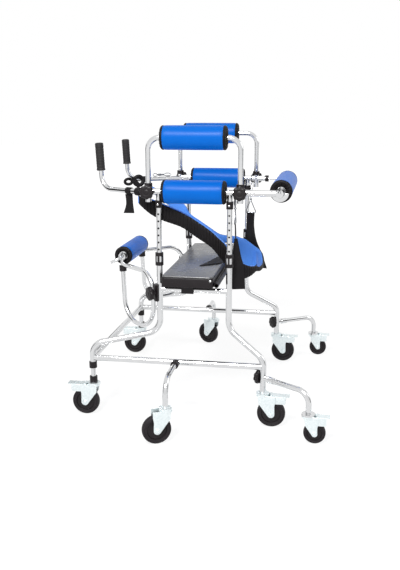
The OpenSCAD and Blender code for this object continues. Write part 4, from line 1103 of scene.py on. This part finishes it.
# %% Knobs
STAR_SHARE = 1.07
STAR_LOBES = 8
STAR_DEPTH = 0.058
HEAD = 16
body_steps = [(13, 0), (19.8, 0.4), (21.9, 2), (22.5, 4.2), (22.5, 10.4), (21.8, 12.8),
              (19.4, 14.8), (16.4, 15.4)]
face_steps = [(15.2, 14.2), (15.2, 15.4), (14.4, 16), (11.8, 16.2), (10.6, 15.6), (8.6, 15.6),
              (7.6, 16.2), (5, 16.8), (2.2, 17)]
star_steps = [(r * STAR_SHARE, z) for r, z in body_steps]
knob_model = turned("model_knob", 96, star_steps, STAR_LOBES, STAR_DEPTH)
face_model = turned("model_face", 48, [(r * STAR_SHARE, z) for r, z in face_steps])
spots = ("front", "rear", "knee", "tail")
knobs = [f"{hand}_{spot_name}_knob" for hand, _ in HANDS for spot_name in spots]
for name in knobs:
    at, axis = axle(name)
    foot = at + axis * (reach_of(name, at, axis) - HEAD)
    dress(set_on(twin(knob_model, name + "_star"), foot, axis), "black_plastic", name, 40, (name,))
    dress(set_on(twin(face_model, name + "_face"), foot, axis), "black_plastic", name, 30)
for model in (knob_model, face_model):
    bpy.data.objects.remove(model)
print("knobs:", len(knobs))

# %% [markdown]
# ## Grips and post caps
# The grips are rubber sleeves with a flange below, shallow finger rings and a domed top. Each post cap
# carries a bright bolt in a black collar, which holds the arm tube on its post.

# %% Grips and bolts
GRIP_LENGTH = 100
GRIP_LEAN = np.array((-0.0484, 0, 0.9988))
CAP_FACE = 16.2
CAP_Z = 773
grip_steps = [(12, 0), (15.4, 0.6), (16.2, 2), (16.2, 5), (15.2, 6.6)]
for z in range(0, 80, 10):
    grip_steps += [(14.7, 12 + z), (15.3, 15 + z), (15.3, 18 + z), (14.8, 20 + z)]
grip_steps += [(15.2, 94), (14.4, 97.2), (12, 99.2), (6, 100)]
collar_ring = [(4.4, -1), (6.6, -1), (6.6, 1.6), (5.8, 2.4), (4.4, 2.4)]
for hand, sign in HANDS:
    grip = turned(hand + "_grip_sleeve", 48, grip_steps)
    set_on(grip, extent(hand + "_grip")[0] - GRIP_LEAN * GRIP_LENGTH / 2, GRIP_LEAN)
    dress(grip, "grip_rubber", hand + "_handle", 50, (hand + "_grip",))
    for end, x in (("front", -POST_X), ("rear", POST_X)):
        face = (x, sign * (POST_Y + CAP_FACE), CAP_Z)
        collar = spun(f"{hand}_{end}_bolt_collar", collar_ring, 36)
        set_on(collar, face, (0, sign, 0))
        dress(collar, "black_plastic", "upper_frame", 30)
        bolt = turned(f"{hand}_{end}_bolt", 32, [(4.4, -0.5), (4.4, 1), (4, 2), (2.8, 2.9), (1, 3.2)])
        set_on(bolt, face, (0, sign, 0))
        dress(bolt, "chrome_tube", "upper_frame", 50)
print("grips and bolts placed")

# %% [markdown]
# The back roller's rod drops into a hook at the end of the left arm tube. A bright half-round plate
# stiffens that hook. The knee roller's rod ends in a short bent handle, by which it is lifted out.

# %% Hook plate and rod handle
PLATE_OUT = 30
PLATE_IN = 14.4
PLATE_THICK = 4
PLATE_INSET = 15.4
ROD_THICK = 12
arc_down = np.radians(np.linspace(180, 360, 19))
half_ring = [(PLATE_OUT * math.cos(q), PLATE_OUT * math.sin(q)) for q in arc_down]
half_ring += [(PLATE_IN * math.cos(q), PLATE_IN * math.sin(q)) for q in arc_down[::-1]]
hook_plate = plate("back_hook_plate", half_ring, 0, PLATE_THICK, PLATE_EDGE)
rod_x = extent("back_pad")[0][0]
set_flat(hook_plate, (rod_x, -POST_Y + PLATE_INSET, ARM_Z), (1, 0, 0))
dress(hook_plate, "chrome_tube", "upper_frame", 30)
knee_x, _, knee_z = extent("knee_pad")[0]
bend_line = [(0, -164, 0), (-2, -172, -2), (-9, -178, -6), (-18, -181, -11), (-34, -181, -17)]
rod_line = [(knee_x + x, y, knee_z + z) for x, y, z in bend_line]
handle = wire("knee_rod_handle", eased(rod_line, 24), ROD_THICK)
dress(handle, "chrome_tube", "knee_roller", 40)
print(hook_plate.name, handle.name, "placed")

# %% [markdown]
# ## The seat
# The seat is a moulded shell with a separate top pressed into it, so a fine line runs round its edge.
# Two channels under it sit over the side bars. Plates with bevelled edges give the soft glints of a
# moulding.

# %% Seat shell, top, channels and rivets
def rounded(x0, y0, x1, y1, r, steps=8):
    """The outline of a rectangle with round corners, in mm."""
    points = []
    centres = ((x1 - r, y1 - r), (x0 + r, y1 - r), (x0 + r, y0 + r), (x1 - r, y0 + r))
    for corner, (cx, cy) in enumerate(centres):
        for q in np.radians(np.linspace(90 * corner, 90 * corner + 90, steps)):
            points.append((cx + r * math.cos(q), cy + r * math.sin(q)))
    return points


CORNER = 12
TOP_PLATE = 6.2
TOP_INSET = 1.4
CHANNEL_DEEP = 30
CHANNEL_X = -44
CHANNEL_LONG = 44
BAR_R = 9.8
(x0, y0, z0), (x1, y1, z1) = (np.array(corner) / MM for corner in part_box("seat_board"))
shell_z = z0 + CHANNEL_DEEP
shell = plate("seat_shell", rounded(x0, y0, x1, y1, CORNER), shell_z, z1 - TOP_PLATE - 0.4, 2.6)
dress(shell, "seat_board", "seat", 40, ("seat_board",), look=black)
inside = rounded(x0 + TOP_INSET, y0 + TOP_INSET, x1 - TOP_INSET, y1 - TOP_INSET, CORNER)
top = plate("seat_top", inside, z1 - TOP_PLATE, z1, 3.4)
dress(top, "seat_board", "seat", 40)
arch = [(BAR_R * math.cos(q), z0 + 11 + BAR_R * math.sin(q)) for q in np.linspace(0, math.pi, 13)]
wall = [(15.5, shell_z + 0.4), (15.5, z0), (BAR_R, z0)]
channel = wall + arch + [(-y, z) for y, z in reversed(wall)]
for hand, sign in HANDS:
    clip = plate(hand + "_seat_channel", [(-z, y) for y, z in channel], 0, CHANNEL_LONG, 1.2)
    set_on(clip, (CHANNEL_X, sign * POST_Y, 0), (1, 0, 0))
    dress(clip, "black_plastic", "seat", 30)
    rivet = turned(hand + "_seat_rivet", 24, [(4.2, -0.5), (4.2, 0.5), (3.6, 1.4), (2, 2), (0.6, 2.1)])
    set_on(rivet, (x1 - 9, sign * (y1 - 0.2), z1 - 13), (0, sign, 0))
    dress(rivet, "chrome_tube", "seat", 50)
print("seat:", [round(v, 3) for v in shell.dimensions], "m")

# %% [markdown]
# A spare strap lies on the seat with its cut end towards the left. It is a flat skin like the others,
# widest in its middle, and rests on the top.

# %% Spare strap on the seat
SPARE_LIFT = 2.1
spare_line = [(x, y, z1 + SPARE_LIFT) for x, y in ((62, 52), (54, -20), (50, -66), (26, -114), (-1, -152))]
spare = strap("seat_spare_strap", spare_line, (34, 52, 60, 36, 7), (0.94, -0.34, 0), 36,
              "seat")
print(spare.name, "on the seat")

# %% [markdown]
# ## Size
# The dressed part has to keep the size of its solids.
